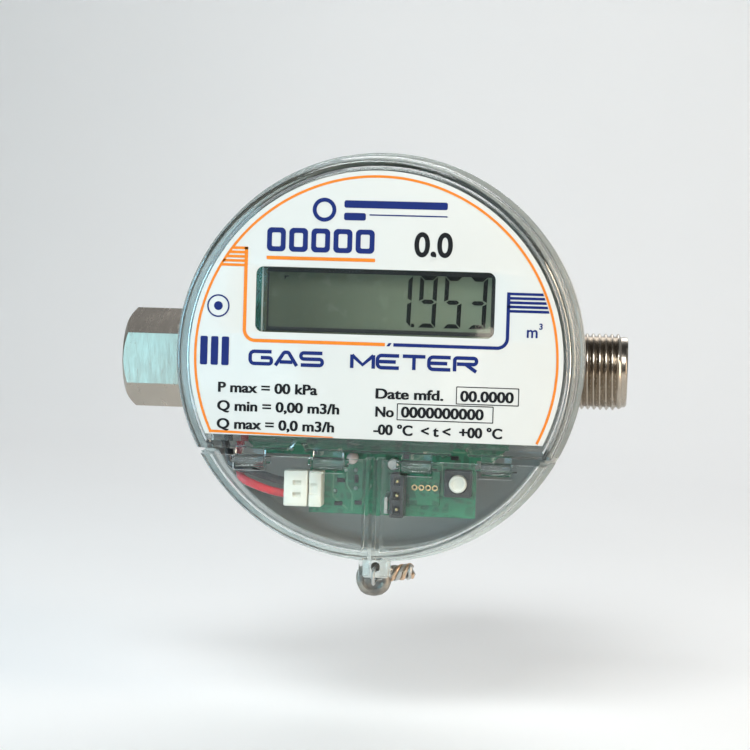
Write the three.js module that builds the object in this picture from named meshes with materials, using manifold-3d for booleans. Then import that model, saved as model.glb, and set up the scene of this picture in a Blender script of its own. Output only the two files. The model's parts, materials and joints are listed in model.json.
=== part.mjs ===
// A small household gas meter with no moving works: gas crosses a jet block in the metal body
// behind, two sensors feel the jet swing, and the board in the round housing in front counts it.
// Millimetres, +Z up. The pipe runs along X and the face looks along -Y. The origin is where the
// pipe axis crosses the upright line through the middle of the housing.
import * as THREE from "three";
import { mergeVertices } from "three/addons/utils/BufferGeometryUtils.js";
import Module from "manifold-3d";

const wasm = await Module();
wasm.setup();

// ---------------------------------------------------------------- driving dimensions
const pipeLength = 110; // inlet face to outlet face
const inletReach = 59; // inlet face to the middle of the housing
const housingRadius = 42; // base housing and the flange of the clear covers
const housingRise = 2.4; // housing axis above the pipe axis
const coverDeep = 13; // clear covers, from the joint with the base housing to their face
const floorReach = 10; // back of the base housing
const bodyReach = 36; // back of the metal body, behind the pipe axis

const gap = 0.3; // between pieces that seat on each other
const slip = 0.25; // round a pin or a shank in its hole

const housingWall = 2.2;
const floorThick = 2;
const flangeStep = 1.2; // the clear wall stands this far inside the flange
const flangeDeep = 4;
const clearThick = 2; // fixed clear cover
const coverThick = 1.5; // hinged clear covers
const edgeRound = 1.6;

const labelInset = 3; // label edge inside the clear wall
const labelThick = 0.25;
const labelDrop = 16.2; // lower edge of the label, below the housing axis
const windowWide = 49;
const windowHigh = 13.2;
const windowRise = 11.4; // middle of the window above the housing axis
const windowRound = 1.6;

const hingeDrop = 21.2; // hinge line below the housing axis
const hingeDeep = 1.6; // hinge line behind the face
const pinRadius = 0.8;
const lugWall = 0.7;
const lugWide = 6;
const lugPlaces = [-25, -9, 9, 25];
const lugNeck = 2.1; // hinge line to the lower edge of the fixed cover
const coverTop = 0.8; // hinged covers reach this far above the hinge line
const seamHalf = 0.4; // half the gap between the two hinged covers
const notchRadius = 1.75;
const notchPlaces = [-15.5, 17.6];
const shelfDeep = 8; // shelf of the fixed cover, back from the face plate

const glassSize = [48.6, 17, 2.8];
const glassShift = 0.6; // the display sits a little to the right
const glassGap = 0.9; // behind the clear face
const boardThick = 1.6;
const boardHalf = 27;
const boardTop = 27;
const boardLow = -20.6;
const tabLeft = -14;
const tabRight = 20.5;
const tabLow = -32.5;
const chipHeight = 1.2;

const cellRadius = 7.25;
const cellLength = 50;
const cellDrop = 7; // cell axis below the housing axis
const cellFree = 0.2; // cell to the joint of housing and covers
const trayWall = 1.1;

const leadRadius = 0.85;
const leadPitch = 2.5;
const plugSize = [4.9, 5.2, 7.3];
const socketWide = 2.6;

const drumRadius = 30;
const drumWall = 5;
const drumFront = 4.7; // wall between the gas and the base housing
const bossRadius = 12.5;
const bossReach = 38;
const shankRadius = 8;
const shankLength = 11;
const hexAcross = 19;
const inletBore = 7.45;
const threadRadius = 8.33;
const portBore = 5.6;
const socketDeep = 14;
const ringRadius = 0.62; // section of the O-rings
const blockDeep = 20;
const plateThick = 2;
const coverPlate = 3.6; // rear cover
const gasketThick = 1;
const sensorRadius = 4;
const sensorPlaces = [-9, 9];
const sensorRise = 8; // above the pipe axis

const screwHead = 2.3;
const screwShank = 1.2;

const sealHang = 1.7; // seal hole below the housing's edge
const sealHole = 1;
const sealWire = 0.4;
const sealDisc = 3.7;
const sealThick = 4;

// facets round the large turned shapes
const shellSides = 64;
const drumSides = 40;
const fittingSides = 32;

// ---------------------------------------------------------------- derived places, housing frame
const floorY = -floorReach - floorThick;
const splitY = floorY - gap - 2 * cellRadius - cellFree;
const faceY = splitY - coverDeep;
const clearRadius = housingRadius - flangeStep;
const hingeY = faceY + hingeDeep;
const hingeZ = -hingeDrop;
const fixedLow = hingeZ + lugNeck;
const coverTopZ = hingeZ + coverTop;
const coverBackY = splitY - gap;
const glassFront = faceY + clearThick + glassGap;
const glassBack = glassFront + glassSize[2];
const boardFront = splitY - boardThick - 0.4;
const boardBack = boardFront + boardThick;
const cellY = floorY - gap - cellRadius;
const sealZ = -housingRadius - sealHang;

// ---------------------------------------------------------------- geometry to solids and back
function solid(geometry) {
  geometry.deleteAttribute("normal");
  geometry.deleteAttribute("uv");
  const merged = mergeVertices(geometry, 1e-4);
  const corners = merged.index.array;
  const whole = [];
  for (let i = 0; i < corners.length; i += 3) {
    const [a, b, c] = corners.subarray(i, i + 3);
    if (a !== b && b !== c && c !== a) whole.push(a, b, c);
  }
  const mesh = new wasm.Mesh({
    numProp: 3,
    vertProperties: merged.attributes.position.array,
    triVerts: new Uint32Array(whole),
  });
  return new wasm.Manifold(mesh);
}

function geometryOf(made) {
  const { vertProperties, triVerts } = made.getMesh();
  const geometry = new THREE.BufferGeometry();
  geometry.setAttribute("position", new THREE.BufferAttribute(new Float32Array(vertProperties), 3));
  geometry.setIndex(new THREE.BufferAttribute(new Uint32Array(triVerts), 1));
  geometry.computeVertexNormals();
  return geometry;
}

const join = (...pieces) => pieces.reduce((a, b) => a.add(b));
const cut = (piece, ...tools) => tools.reduce((a, b) => a.subtract(b), piece);

// A box between two corners.
function box([x0, y0, z0], [x1, y1, z1]) {
  const made = new THREE.BoxGeometry(x1 - x0, y1 - y0, z1 - z0);
  return solid(made.translate((x0 + x1) / 2, (y0 + y1) / 2, (z0 + z1) / 2));
}

// A profile of [radius, along] points, closed, turned about Y, or about X when that is asked for.
function turned(profile, segments = 32, aboutX = false) {
  const points = profile.map(([r, t]) => new THREE.Vector2(r, t));
  if (THREE.ShapeUtils.area(points) < 0) points.reverse();
  points.push(points[0].clone());
  const made = new THREE.LatheGeometry(points, segments);
  return solid(aboutX ? made.rotateZ(-Math.PI / 2) : made);
}

// A round bar along Y between two depths.
function bar(radius, y0, y1, [x, z] = [0, 0], segments = 24) {
  const made = new THREE.CylinderGeometry(radius, radius, y1 - y0, segments);
  return solid(made.translate(x, (y0 + y1) / 2, z));
}

// A round bar along X.
function crossBar(radius, x0, x1, [y, z] = [0, 0], segments = 24) {
  const made = new THREE.CylinderGeometry(radius, radius, x1 - x0, segments);
  return solid(made.rotateZ(Math.PI / 2).translate((x0 + x1) / 2, y, z));
}

// An outline in X and Z, as thick as the two depths say.
function plate(outline, y0, y1, curveSegments = 8) {
  const made = new THREE.ExtrudeGeometry(outline, { depth: y1 - y0, bevelEnabled: false, curveSegments });
  return solid(made.rotateX(Math.PI / 2).translate(0, y1, 0));
}

function roundedOutline([x0, z0], [x1, z1], r) {
  const outline = new THREE.Shape();
  outline.absarc(x1 - r, z1 - r, r, 0, Math.PI / 2);
  outline.absarc(x0 + r, z1 - r, r, Math.PI / 2, Math.PI);
  outline.absarc(x0 + r, z0 + r, r, Math.PI, 1.5 * Math.PI);
  outline.absarc(x1 - r, z0 + r, r, 1.5 * Math.PI, 2 * Math.PI);
  return outline;
}

const polygon = (points) => new THREE.Shape(points.map(([x, z]) => new THREE.Vector2(x, z)));

// A round cord through the points.
function cord(points, radius, steps, sides = 8) {
  const section = new THREE.Shape();
  section.absarc(0, 0, radius, 0, 2 * Math.PI);
  const extrudePath = new THREE.CatmullRomCurve3(points.map((p) => new THREE.Vector3(...p)));
  const options = { steps, extrudePath, curveSegments: sides / 2, bevelEnabled: false };
  return solid(new THREE.ExtrudeGeometry(section, options));
}

// ---------------------------------------------------------------- materials
const looks = {
  greyPlastic: [0x8e9490, 0.55, 0],
  clearPlastic: [0xc9d2d0, 0.08, 0],
  labelFilm: [0xe6ebe6, 0.5, 0],
  boardGreen: [0x1f5a3c, 0.5, 0],
  displayGlass: [0x8f978a, 0.12, 0],
  whitePlastic: [0xece8dc, 0.5, 0],
  blackPlastic: [0x1d1f1f, 0.5, 0],
  blackWire: [0x17181a, 0.45, 0],
  redWire: [0xc8202a, 0.4, 0],
  rubber: [0x222322, 0.85, 0],
  nickel: [0xb9ab95, 0.28, 1],
  castMetal: [0xa7aaa8, 0.5, 1],
  steel: [0x9a9c9c, 0.35, 1],
  brass: [0xb8924a, 0.35, 1],
  lead: [0x8b8a85, 0.55, 1],
  sleeve: [0x2e6b86, 0.45, 0],
};

function material(look) {
  const [color, roughness, metalness] = looks[look];
  return new THREE.MeshStandardMaterial({ color, roughness, metalness });
}

function add(group, name, made, look) {
  const mesh = new THREE.Mesh(geometryOf(made), material(look));
  mesh.name = name;
  group.add(mesh);
  return mesh;
}

const meter = new THREE.Group();
const housing = new THREE.Group();
housing.position.z = housingRise;
const pipe = new THREE.Group();
meter.add(housing, pipe);

// ---------------------------------------------------------------- housing: base
const boardPosts = [[-24, 23.4], [24, 23.4]];
const boardRest = [9, -27];
const bodyScrews = [[-18, 19.6], [18, 19.6], [0, -26.4]];
const postRadius = 2.2;
const sensorRiseInHousing = sensorRise - housingRise;

function baseHousing() {
  const inner = housingRadius - housingWall;
  const back = -floorReach;
  const shell = turned([
    [0, back], [housingRadius - edgeRound, back], [housingRadius, back - edgeRound],
    [housingRadius, splitY], [inner, splitY], [inner, floorY], [0, floorY],
  ], shellSides);
  const lug = cut(
    box([-2.6, splitY, sealZ - 2.3], [2.6, splitY + 2, -housingRadius + 1]),
    bar(sealHole, splitY - 1, splitY + 3, [0, sealZ], 16),
  );
  const posts = [...boardPosts, boardRest].map(
    (at) => bar(postRadius, boardBack + gap, floorY + 0.5, at, 16));
  const bores = [
    ...boardPosts.map((at) => bar(screwShank + slip, boardBack - 1, boardBack + 7, at, 12)),
    ...bodyScrews.map((at) => bar(screwShank + slip, floorY - 1, back + 1, at, 12)),
    ...sensorPlaces.map((x) => bar(sensorRadius, floorY - 1, back + 1, [x, sensorRiseInHousing])),
  ];
  return cut(join(shell, lug, ...posts), ...bores);
}
add(housing, "base_housing", baseHousing(), "greyPlastic");

// ---------------------------------------------------------------- housing: clear covers
// The turned clear shell, front plate and wall, with its flange.
function clearShell(thick, backY) {
  const r = clearRadius;
  const steps = 3;
  const round = Array.from({ length: steps + 1 }, (_, i) => {
    const a = (Math.PI / 2) * (i / steps);
    return [r - edgeRound + edgeRound * Math.sin(a), faceY + edgeRound - edgeRound * Math.cos(a)];
  });
  return turned([
    [0, faceY], ...round,
    [r, backY - flangeDeep], [housingRadius, backY - flangeDeep], [housingRadius, backY],
    [r - thick, backY], [r - thick, faceY + thick], [0, faceY + thick],
  ], shellSides);
}

// A ring round the hinge line, open below to snap over the pin, with a neck up to the cover.
function hingeLug(x) {
  const [x0, x1] = [x - lugWide / 2, x + lugWide / 2];
  const bore = pinRadius + slip;
  const outer = bore + lugWall;
  const neck = box([x0, faceY, hingeZ], [x1, hingeY + outer, fixedLow + clearThick / 2]);
  const mouth = box([x0 - 1, hingeY - pinRadius * 0.75, hingeZ - outer - 1],
    [x1 + 1, hingeY + pinRadius * 0.75, hingeZ]);
  const ring = join(crossBar(outer, x0, x1, [hingeY, hingeZ], 20), neck);
  return cut(ring, crossBar(bore, x0 - 1, x1 + 1, [hingeY, hingeZ], 16), mouth);
}

function frontCover() {
  const r = clearRadius;
  const inside = bar(r - clearThick / 2, faceY + clearThick / 2, splitY, [0, 0], shellSides);
  const shelf = box([-r, faceY + clearThick / 2, fixedLow],
    [r, faceY + clearThick + shelfDeep, fixedLow + coverThick]).intersect(inside);
  const belowLine = box([-2 * r, faceY - 5, -2 * r], [2 * r, splitY + 5, fixedLow]);
  const notches = notchPlaces.map((x) => bar(notchRadius, faceY - 1, faceY + 12, [x, fixedLow], 20));
  const shell = cut(clearShell(clearThick, splitY - gap), belowLine);
  return join(cut(join(shell, shelf), ...notches), ...lugPlaces.map(hingeLug));
}
add(housing, "front_cover", frontCover(), "clearPlastic");

// One hinged cover: side is -1 for the left one and 1 for the right one.
function hingedCover(side) {
  const r = clearRadius;
  const [near, far] = [seamHalf * side, 2 * r * side];
  const quarter = box([Math.min(near, far), faceY - 1, -2 * r],
    [Math.max(near, far), coverBackY + 1, coverTopZ]);
  const wallX = (seamHalf + coverThick) * side;
  const seamWall = box(
    [Math.min(near, wallX), faceY + coverThick / 2, -r + coverThick / 2],
    [Math.max(near, wallX), faceY + 9, coverTopZ],
  );
  const prongX = [1.1 * side, 3.3 * side].sort((a, b) => a - b);
  const prong = box([prongX[0], coverBackY - 2, sealZ - 1.7], [prongX[1], coverBackY, -r + 0.6]);
  const mine = lugPlaces.filter((x) => x * side > 0);
  const windowLow = hingeZ - (pinRadius + slip + lugWall) - 0.45;
  const windows = mine.map((x) => box([x - lugWide / 2 - 0.4, faceY - 1, windowLow],
    [x + lugWide / 2 + 0.4, faceY + coverThick + 1, coverTopZ + 1]));
  const pins = mine.map((x) => crossBar(pinRadius, x - lugWide / 2 - 1.2, x + lugWide / 2 + 1.2,
    [hingeY, hingeZ], 16));
  const shell = clearShell(coverThick, coverBackY).intersect(quarter);
  return join(cut(join(shell, seamWall, prong), ...windows), ...pins);
}
add(housing, "battery_cover", hingedCover(-1), "clearPlastic");
add(housing, "terminal_cover", hingedCover(1), "clearPlastic");

function label() {
  const radius = clearRadius - labelInset;
  const film = bar(radius, faceY - 0.05 - labelThick, faceY - 0.05, [0, 0], shellSides);
  const low = box([-2 * radius, faceY - 5, -2 * radius], [2 * radius, faceY + 5, -labelDrop]);
  const view = roundedOutline([-windowWide / 2, windowRise - windowHigh / 2],
    [windowWide / 2, windowRise + windowHigh / 2], windowRound);
  return cut(film, low, plate(view, faceY - 2, faceY + 2, 4));
}
add(housing, "label", label(), "labelFilm");

// ---------------------------------------------------------------- display and board
const [glassWide, glassHigh] = glassSize;
const glassLeft = glassShift - glassWide / 2;
const glassRight = glassShift + glassWide / 2;
const glassLow = windowRise - glassHigh / 2;
const glassTop = windowRise + glassHigh / 2;
const stripHigh = 1.8;
const holderWall = 1;

add(housing, "display_glass",
  box([glassLeft, glassFront, glassLow], [glassRight, glassBack, glassTop]), "displayGlass");

for (const [name, low] of [["lower", glassLow + 1.4], ["upper", glassTop - 1.4 - stripHigh]]) {
  const strip = box([glassLeft + 3, glassBack + 0.1, low],
    [glassRight - 3, boardFront - 0.1, low + stripHigh]);
  add(housing, "contact_strip_" + name, strip, "rubber");
}

function displayHolder() {
  const outer = box([glassLeft + 1.2, glassBack + gap, glassLow + gap - 0.2],
    [glassRight - 1.2, boardFront - gap, glassTop - gap + 0.2]);
  const inner = box([glassLeft + 1.2 + holderWall, faceY, glassLow + 0.1 + holderWall],
    [glassRight - 1.2 - holderWall, 0, glassTop - 0.1 - holderWall]);
  return cut(outer, inner);
}
add(housing, "display_holder", displayHolder(), "whitePlastic");

function circuitBoard() {
  const bevel = 3;
  const outline = polygon([
    [-boardHalf, boardLow + bevel], [-boardHalf + bevel, boardLow], [tabLeft, boardLow],
    [tabLeft, tabLow], [tabRight, tabLow], [tabRight, boardLow], [boardHalf - bevel, boardLow],
    [boardHalf, boardLow + bevel], [boardHalf, boardTop - 2], [boardHalf - 2, boardTop],
    [-boardHalf + 2, boardTop], [-boardHalf, boardTop - 2],
  ]);
  const holes = boardPosts.map((at) => bar(screwShank + slip, boardFront - 1, boardBack + 1, at, 12));
  return cut(plate(outline, boardFront, boardBack), ...holes);
}
add(housing, "circuit_board", circuitBoard(), "boardGreen");

// A piece standing on the front of the board.
const onBoard = (x0, x1, z0, z1, high) =>
  box([x0, boardFront - 0.1 - high, z0], [x1, boardFront - 0.1, z1]);

add(housing, "processor_chip", onBoard(-6, 1, -6, 1, chipHeight), "blackPlastic");
add(housing, "memory_chip", onBoard(8, 12, -5, -1, chipHeight), "blackPlastic");
add(housing, "timing_crystal", onBoard(-16, -9, -4.5, -2, 2.4), "steel");
add(housing, "terminal_header", onBoard(3.4, 6.2, -32.3, -23.4, 6.2), "blackPlastic");
add(housing, "contact_tongue", onBoard(1.9 + gap, 2.9, -32.2, -27.6, 5.2), "steel");

function contactBoard() {
  const made = onBoard(7, 13.2, -30, -22.9, 1.4);
  const pads = [0, 1, 2, 3].map((i) => bar(0.45, boardFront - 2, boardFront - 1,
    [8 + i * 1.4, -26.4], 10));
  return cut(made, ...pads);
}
add(housing, "contact_board", contactBoard(), "boardGreen");

const buttonAt = [17, -25.2];
const buttonSeat = [14.2, 19.8, -28, -22.4];
add(housing, "button_base", cut(onBoard(...buttonSeat, 3),
  bar(2.1, boardFront - 4, boardFront - 1, buttonAt, 20)), "blackPlastic");
add(housing, "service_button", bar(1.8, boardFront - 4.2, boardFront - 1.45, buttonAt, 20), "whitePlastic");

const lampAt = [-5, -20.9];
add(housing, "status_lamp", join(bar(1.2, boardFront - 2.2, boardFront - 0.1, lampAt, 16),
  solid(new THREE.SphereGeometry(1.2, 16, 8).translate(lampAt[0], boardFront - 2.2, lampAt[1]))),
"whitePlastic");
add(housing, "smoothing_capacitor", bar(1.2, boardFront - 2.9, boardFront - 0.1, [3.6, -21.7], 16),
  "steel");

// ---------------------------------------------------------------- cell, its tray and its leads
add(housing, "battery_cell",
  crossBar(cellRadius, -cellLength / 2, cellLength / 2, [cellY, -cellDrop], 28), "sleeve");

function batteryTray() {
  const [end, high] = [cellLength / 2 + gap, cellRadius + gap];
  const outline = polygon([
    [-end + 4, high], [end, high], [end, -high], [-end + 4, -high],
    [-end + 4, -high - trayWall], [end + trayWall, -high - trayWall],
    [end + trayWall, high + trayWall], [-end + 4, high + trayWall],
  ].map(([x, z]) => [x, z - cellDrop]));
  return plate(outline, cellY - 3, floorY - 0.1);
}
add(housing, "battery_tray", batteryTray(), "greyPlastic");

// Side-entry socket on the board, with the plug and the two leads to its left.
const socketLeft = tabLeft + 0.6;
const plugMid = -27.2;
const [plugLong, plugDeep, plugHigh] = plugSize;
const plugLeft = socketLeft - gap - plugLong;
const plugY = boardFront - 0.1 - plugDeep / 2;
const leadZ = [plugMid + leadPitch / 2, plugMid - leadPitch / 2];

add(housing, "battery_socket", cut(
  onBoard(socketLeft, socketLeft + socketWide, plugMid - plugHigh / 2, plugMid + plugHigh / 2, plugDeep),
  box([socketLeft - 1, plugY - plugDeep / 2 + 0.9, plugMid - plugHigh / 2 + 1],
    [socketLeft + 1.2, plugY + plugDeep / 2 - 0.9, plugMid + plugHigh / 2 - 1]),
), "whitePlastic");

function batteryPlug() {
  const whole = box([plugLeft, plugY - plugDeep / 2, plugMid - plugHigh / 2],
    [socketLeft - gap, plugY + plugDeep / 2, plugMid + plugHigh / 2]);
  const entries = leadZ.map((z) => crossBar(leadRadius + slip, plugLeft - 1, plugLeft + 1.6, [plugY, z], 12));
  return cut(whole, ...entries);
}
add(housing, "battery_plug", batteryPlug(), "whitePlastic");

const leadEndX = plugLeft + 1.3;
const cellEndX = -cellLength / 2 - gap;
const leadRoutes = {
  battery_lead_black: [
    [cellEndX, cellY, -cellDrop + 3], [-26.6, cellY, -cellDrop + 3], [-29.6, -21.6, -8],
    [-31.6, -24.8, -14.6], [-31.2, -28.6, -20.5], [-29.6, -31.6, -23.1], [-26.2, -32.8, -23.9],
    [-22.5, -32.4, -25.1],
    [plugLeft - 0.8, plugY, leadZ[0]], [leadEndX, plugY, leadZ[0]],
  ],
  battery_lead_red: [
    [cellEndX, cellY, -cellDrop - 3], [-26.6, cellY, -cellDrop - 3], [-28.2, -21.6, -14],
    [-28.8, -25.4, -20], [-28.6, -29.2, -24.6], [-27.4, -32.2, -25.8], [-25.2, -33.6, -26.6],
    [-22.2, -33.2, -27.7],
    [plugLeft - 0.8, plugY, leadZ[1]], [leadEndX, plugY, leadZ[1]],
  ],
};
add(housing, "battery_lead_black", cord(leadRoutes.battery_lead_black, leadRadius, 36), "blackWire");
add(housing, "battery_lead_red", cord(leadRoutes.battery_lead_red, leadRadius, 36), "redWire");

// ---------------------------------------------------------------- metal body and fittings
const drumY = -floorReach + gap;
const cavityY = drumY + drumFront;
const cavityRadius = drumRadius - drumWall;
const rearScrewRing = drumRadius - drumWall / 2;
const outletReach = pipeLength - inletReach;
const rearAngles = [45, 135, 225, 315].map((a) => (a * Math.PI) / 180);
const rearScrews = rearAngles.map((a) => [rearScrewRing * Math.cos(a), rearScrewRing * Math.sin(a)]);

function flowBody() {
  const drum = turned([
    [0, drumY], [drumRadius - 1, drumY], [drumRadius, drumY + 1], [drumRadius, bodyReach], [0, bodyReach],
  ], drumSides);
  const bosses = crossBar(bossRadius, -bossReach, bossReach, [0, 0], 32)
    .intersect(box([-bossReach, drumY, -bossRadius], [bossReach, bossRadius, bossRadius]));
  const ports = [
    crossBar(portBore, -bossReach - 1, bossReach + 1, [0, 0], 24),
    crossBar(shankRadius + slip, -bossReach - 1, -bossReach + shankLength + gap, [0, 0], 32),
    crossBar(shankRadius + slip, bossReach - shankLength - gap, bossReach + 1, [0, 0], 32),
  ];
  const bores = [
    ...bodyScrews.map(([x, z]) => bar(screwShank + slip, drumY - 1, drumY + 3.6, [x, z + housingRise], 12)),
    ...rearScrews.map((at) => bar(screwShank + slip, bodyReach - 9, bodyReach + 1, at, 12)),
    ...sensorPlaces.map((x) => bar(sensorRadius + slip, drumY - 1, cavityY + 1, [x, sensorRise])),
  ];
  const cavity = bar(cavityRadius, cavityY, bodyReach + 1, [0, 0], drumSides);
  return cut(join(drum, bosses), cavity, ...ports, ...bores);
}
add(pipe, "flow_body", flowBody(), "castMetal");

const ringMid = bossReach - shankLength / 2;
const grooveHalf = ringRadius + slip;
const grooveRadius = shankRadius + slip - 0.1 - 2 * ringRadius - 0.1;

// The shank that goes into the body, with a groove for its O-ring, from the end face outwards.
const shankProfile = (bore, outerX) => [
  [bore, bossReach - shankLength], [shankRadius - 0.6, bossReach - shankLength],
  [shankRadius, bossReach - shankLength + 0.6], [shankRadius, ringMid - grooveHalf],
  [grooveRadius, ringMid - grooveHalf], [grooveRadius, ringMid + grooveHalf],
  [shankRadius, ringMid + grooveHalf], [shankRadius, outerX],
];

function inletFitting() {
  const hexStart = bossReach + gap;
  const hexEnd = Math.max(inletReach, hexStart + 2);
  const corner = hexAcross / Math.sqrt(3);
  const hex = new THREE.CylinderGeometry(corner, corner, hexEnd - hexStart, 6);
  const turnedHex = solid(hex.rotateZ(Math.PI / 2)
    .translate((hexStart + hexEnd) / 2, 0, 0));
  const chamfer = turned([
    [0, hexStart], [corner - 0.9, hexStart], [corner + 0.2, hexStart + 0.8],
    [corner + 0.2, hexEnd - 1.6], [corner - 1.5, hexEnd], [0, hexEnd],
  ], fittingSides, true);
  const shank = turned([...shankProfile(0, hexStart + 0.5), [0, hexStart + 0.5]], fittingSides, true);
  const bore = turned([
    [0, bossReach - shankLength - 1], [portBore, bossReach - shankLength - 1],
    [portBore, hexEnd - socketDeep], [inletBore, hexEnd - socketDeep], [inletBore, hexEnd - 1],
    [inletBore + 0.9, hexEnd + 0.1], [0, hexEnd + 0.1],
  ], fittingSides, true);
  return cut(join(turnedHex.intersect(chamfer), shank), bore);
}
const inlet = add(pipe, "inlet_fitting", inletFitting(), "nickel");
inlet.rotation.z = Math.PI;

function outletFitting() {
  const start = bossReach + gap;
  const end = outletReach;
  return turned([
    ...shankProfile(portBore, start), [threadRadius, start], [threadRadius, end - 1.1],
    [threadRadius - 1.1, end], [portBore + 0.5, end], [portBore, end - 0.5],
  ], fittingSides, true);
}
add(pipe, "outlet_fitting", outletFitting(), "nickel");

for (const [name, side] of [["inlet", -1], ["outlet", 1]]) {
  const ring = new THREE.TorusGeometry(grooveRadius + 0.1 + ringRadius, ringRadius, 6, 24);
  add(pipe, name + "_o_ring", solid(ring.rotateY(Math.PI / 2).translate(side * ringMid, 0, 0)), "rubber");
}

function inletStrainer() {
  const x1 = -inletReach + socketDeep - gap;
  const places = [[0, 0], ...[0, 1, 2, 3, 4, 5].map((i) => {
    const a = (i * Math.PI) / 3;
    return [4.2 * Math.cos(a), 4.2 * Math.sin(a)];
  })];
  return cut(crossBar(inletBore - slip, x1 - 0.8, x1, [0, 0], 32),
    ...places.map((at) => crossBar(1.5, x1 - 2, x1 + 1, at, 12)));
}
add(pipe, "inlet_strainer", inletStrainer(), "brass");

// ---------------------------------------------------------------- jet block, its plate and sensors
const innerRadius = cavityRadius - gap;
const plateY = cavityY + gap;
const blockY = plateY + plateThick + gap;

function jetBlock() {
  const round = bar(innerRadius, blockY, blockY + blockDeep, [0, 0], drumSides);
  const groove = blockY + 9;
  const channel = (x0, x1, z0, z1) => box([x0, blockY - 1, z0], [x1, groove, z1]);
  const paths = [
    channel(-30, -17, -5, 5), channel(-18, -8, -1, 1), channel(17, 30, -5, 5), channel(8, 18, -2, 2),
    channel(-8, 9, -5, 10.5), channel(-8, 9, -10.5, 5),
  ];
  const island = (side) => plate(polygon(
    [[2.5, 0.4], [7.6, 2.2], [7.6, 7.4], [-3, 7.4], [-3, 3]].map(([x, z]) => [x, z * side])),
  blockY + 0.3, groove + 1);
  return join(cut(round, ...paths), island(1), island(-1));
}
add(pipe, "jet_block", jetBlock(), "whitePlastic");

function jetPlate() {
  const holes = sensorPlaces.map((x) => bar(sensorRadius + slip, plateY - 1, plateY + plateThick + 1,
    [x, sensorRise]));
  return cut(bar(innerRadius, plateY, plateY + plateThick, [0, 0], drumSides), ...holes);
}
add(pipe, "jet_plate", jetPlate(), "steel");

const leadStart = drumY + 0.4;
for (const [name, x] of [["left", sensorPlaces[0]], ["right", sensorPlaces[1]]]) {
  const made = bar(sensorRadius, leadStart + gap, plateY + plateThick, [x, sensorRise]);
  add(pipe, "pressure_sensor_" + name, made, "brass");
  const route = [[x, leadStart, sensorRise], [x, -13, sensorRise], [x * 1.15, -18, sensorRise + 1],
    [x * 1.3, -23, sensorRise + 1], [x * 1.3, boardBack + 0.1, sensorRise + 1]];
  add(pipe, "sensor_lead_" + name, cord(route, 0.7, 12), "blackWire");
}

// ---------------------------------------------------------------- rear cover and its gasket
const gasketY = bodyReach + 0.1;
const rearY = gasketY + gasketThick + 0.1;
const rearBackY = rearY + coverPlate;

function rearGasket() {
  const ring = turned([[cavityRadius, gasketY], [drumRadius - 0.4, gasketY],
    [drumRadius - 0.4, gasketY + gasketThick], [cavityRadius, gasketY + gasketThick]], drumSides);
  return cut(ring, ...rearScrews.map((at) => bar(screwShank + slip, gasketY - 1, rearY + 1, at, 12)));
}
add(pipe, "rear_gasket", rearGasket(), "rubber");

function rearCover() {
  const spigot = blockY + blockDeep + gap;
  const shape = turned([
    [0, rearBackY], [0, rearY + 0.6], [innerRadius - 3, rearY + 0.6], [innerRadius - 3, spigot],
    [innerRadius, spigot], [innerRadius, rearY], [drumRadius, rearY], [drumRadius, rearBackY - 1],
    [drumRadius - 1, rearBackY],
  ], drumSides);
  return cut(shape, ...rearScrews.map((at) => bar(screwShank + slip, rearY - 1, rearBackY + 1, at, 12)));
}
add(pipe, "rear_cover", rearCover(), "castMetal");

// ---------------------------------------------------------------- screws
// A cross-slotted screw along Y: the head's seat is at y = 0 and the shank runs towards +Y.
function screw(shankLong, headHigh = 1.8) {
  const shape = turned([
    [0, -headHigh], [screwHead - 0.7, -headHigh], [screwHead, -headHigh + 0.7], [screwHead, 0],
    [screwShank, 0], [screwShank, shankLong], [0, shankLong],
  ], 12);
  const slot = (w, h) => box([-w, -headHigh - 1, -h], [w, -headHigh + 0.9, h]);
  return cut(shape, slot(1.6, 0.35), slot(0.35, 1.6));
}

boardPosts.forEach(([x, z], i) => {
  const mesh = add(housing, "board_screw_" + (i + 1), screw(5.5), "steel");
  mesh.position.set(x, boardFront - 0.1, z);
});
bodyScrews.forEach(([x, z], i) => {
  const mesh = add(housing, "housing_screw_" + (i + 1), screw(5), "steel");
  mesh.position.set(x, floorY - 0.1, z);
});
rearScrews.forEach(([x, z], i) => {
  const mesh = add(pipe, "rear_screw_" + (i + 1), screw(coverPlate + gasketThick + 7), "steel");
  mesh.position.set(x, rearBackY + 0.1, z);
  mesh.rotation.x = Math.PI;
});

// ---------------------------------------------------------------- lead seal on its wire
const sealY = splitY + 5.4;
const sealDiscZ = sealZ - 3.1;
const loopLow = sealZ - 3.1;
const wireBack = sealY - sealThick / 2 + 1.2;

function leadSeal() {
  const turnedDisc = turned([
    [0, sealY - sealThick / 2], [sealDisc - 1, sealY - sealThick / 2], [sealDisc, sealY - 0.9],
    [sealDisc, sealY + 0.9], [sealDisc - 1, sealY + sealThick / 2], [0, sealY + sealThick / 2],
  ], 28);
  const disc = turnedDisc.translate([-0.8, 0, sealDiscZ]);
  const entry = (z) => bar(sealWire + slip, sealY - sealThick, wireBack + gap, [0, z], 12);
  const tailHole = crossBar(0.8 + slip, 1, 6, [sealY, sealDiscZ + 1.4], 12);
  return cut(disc, entry(sealZ), entry(loopLow), tailHole);
}
add(housing, "lead_seal", leadSeal(), "lead");

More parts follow.
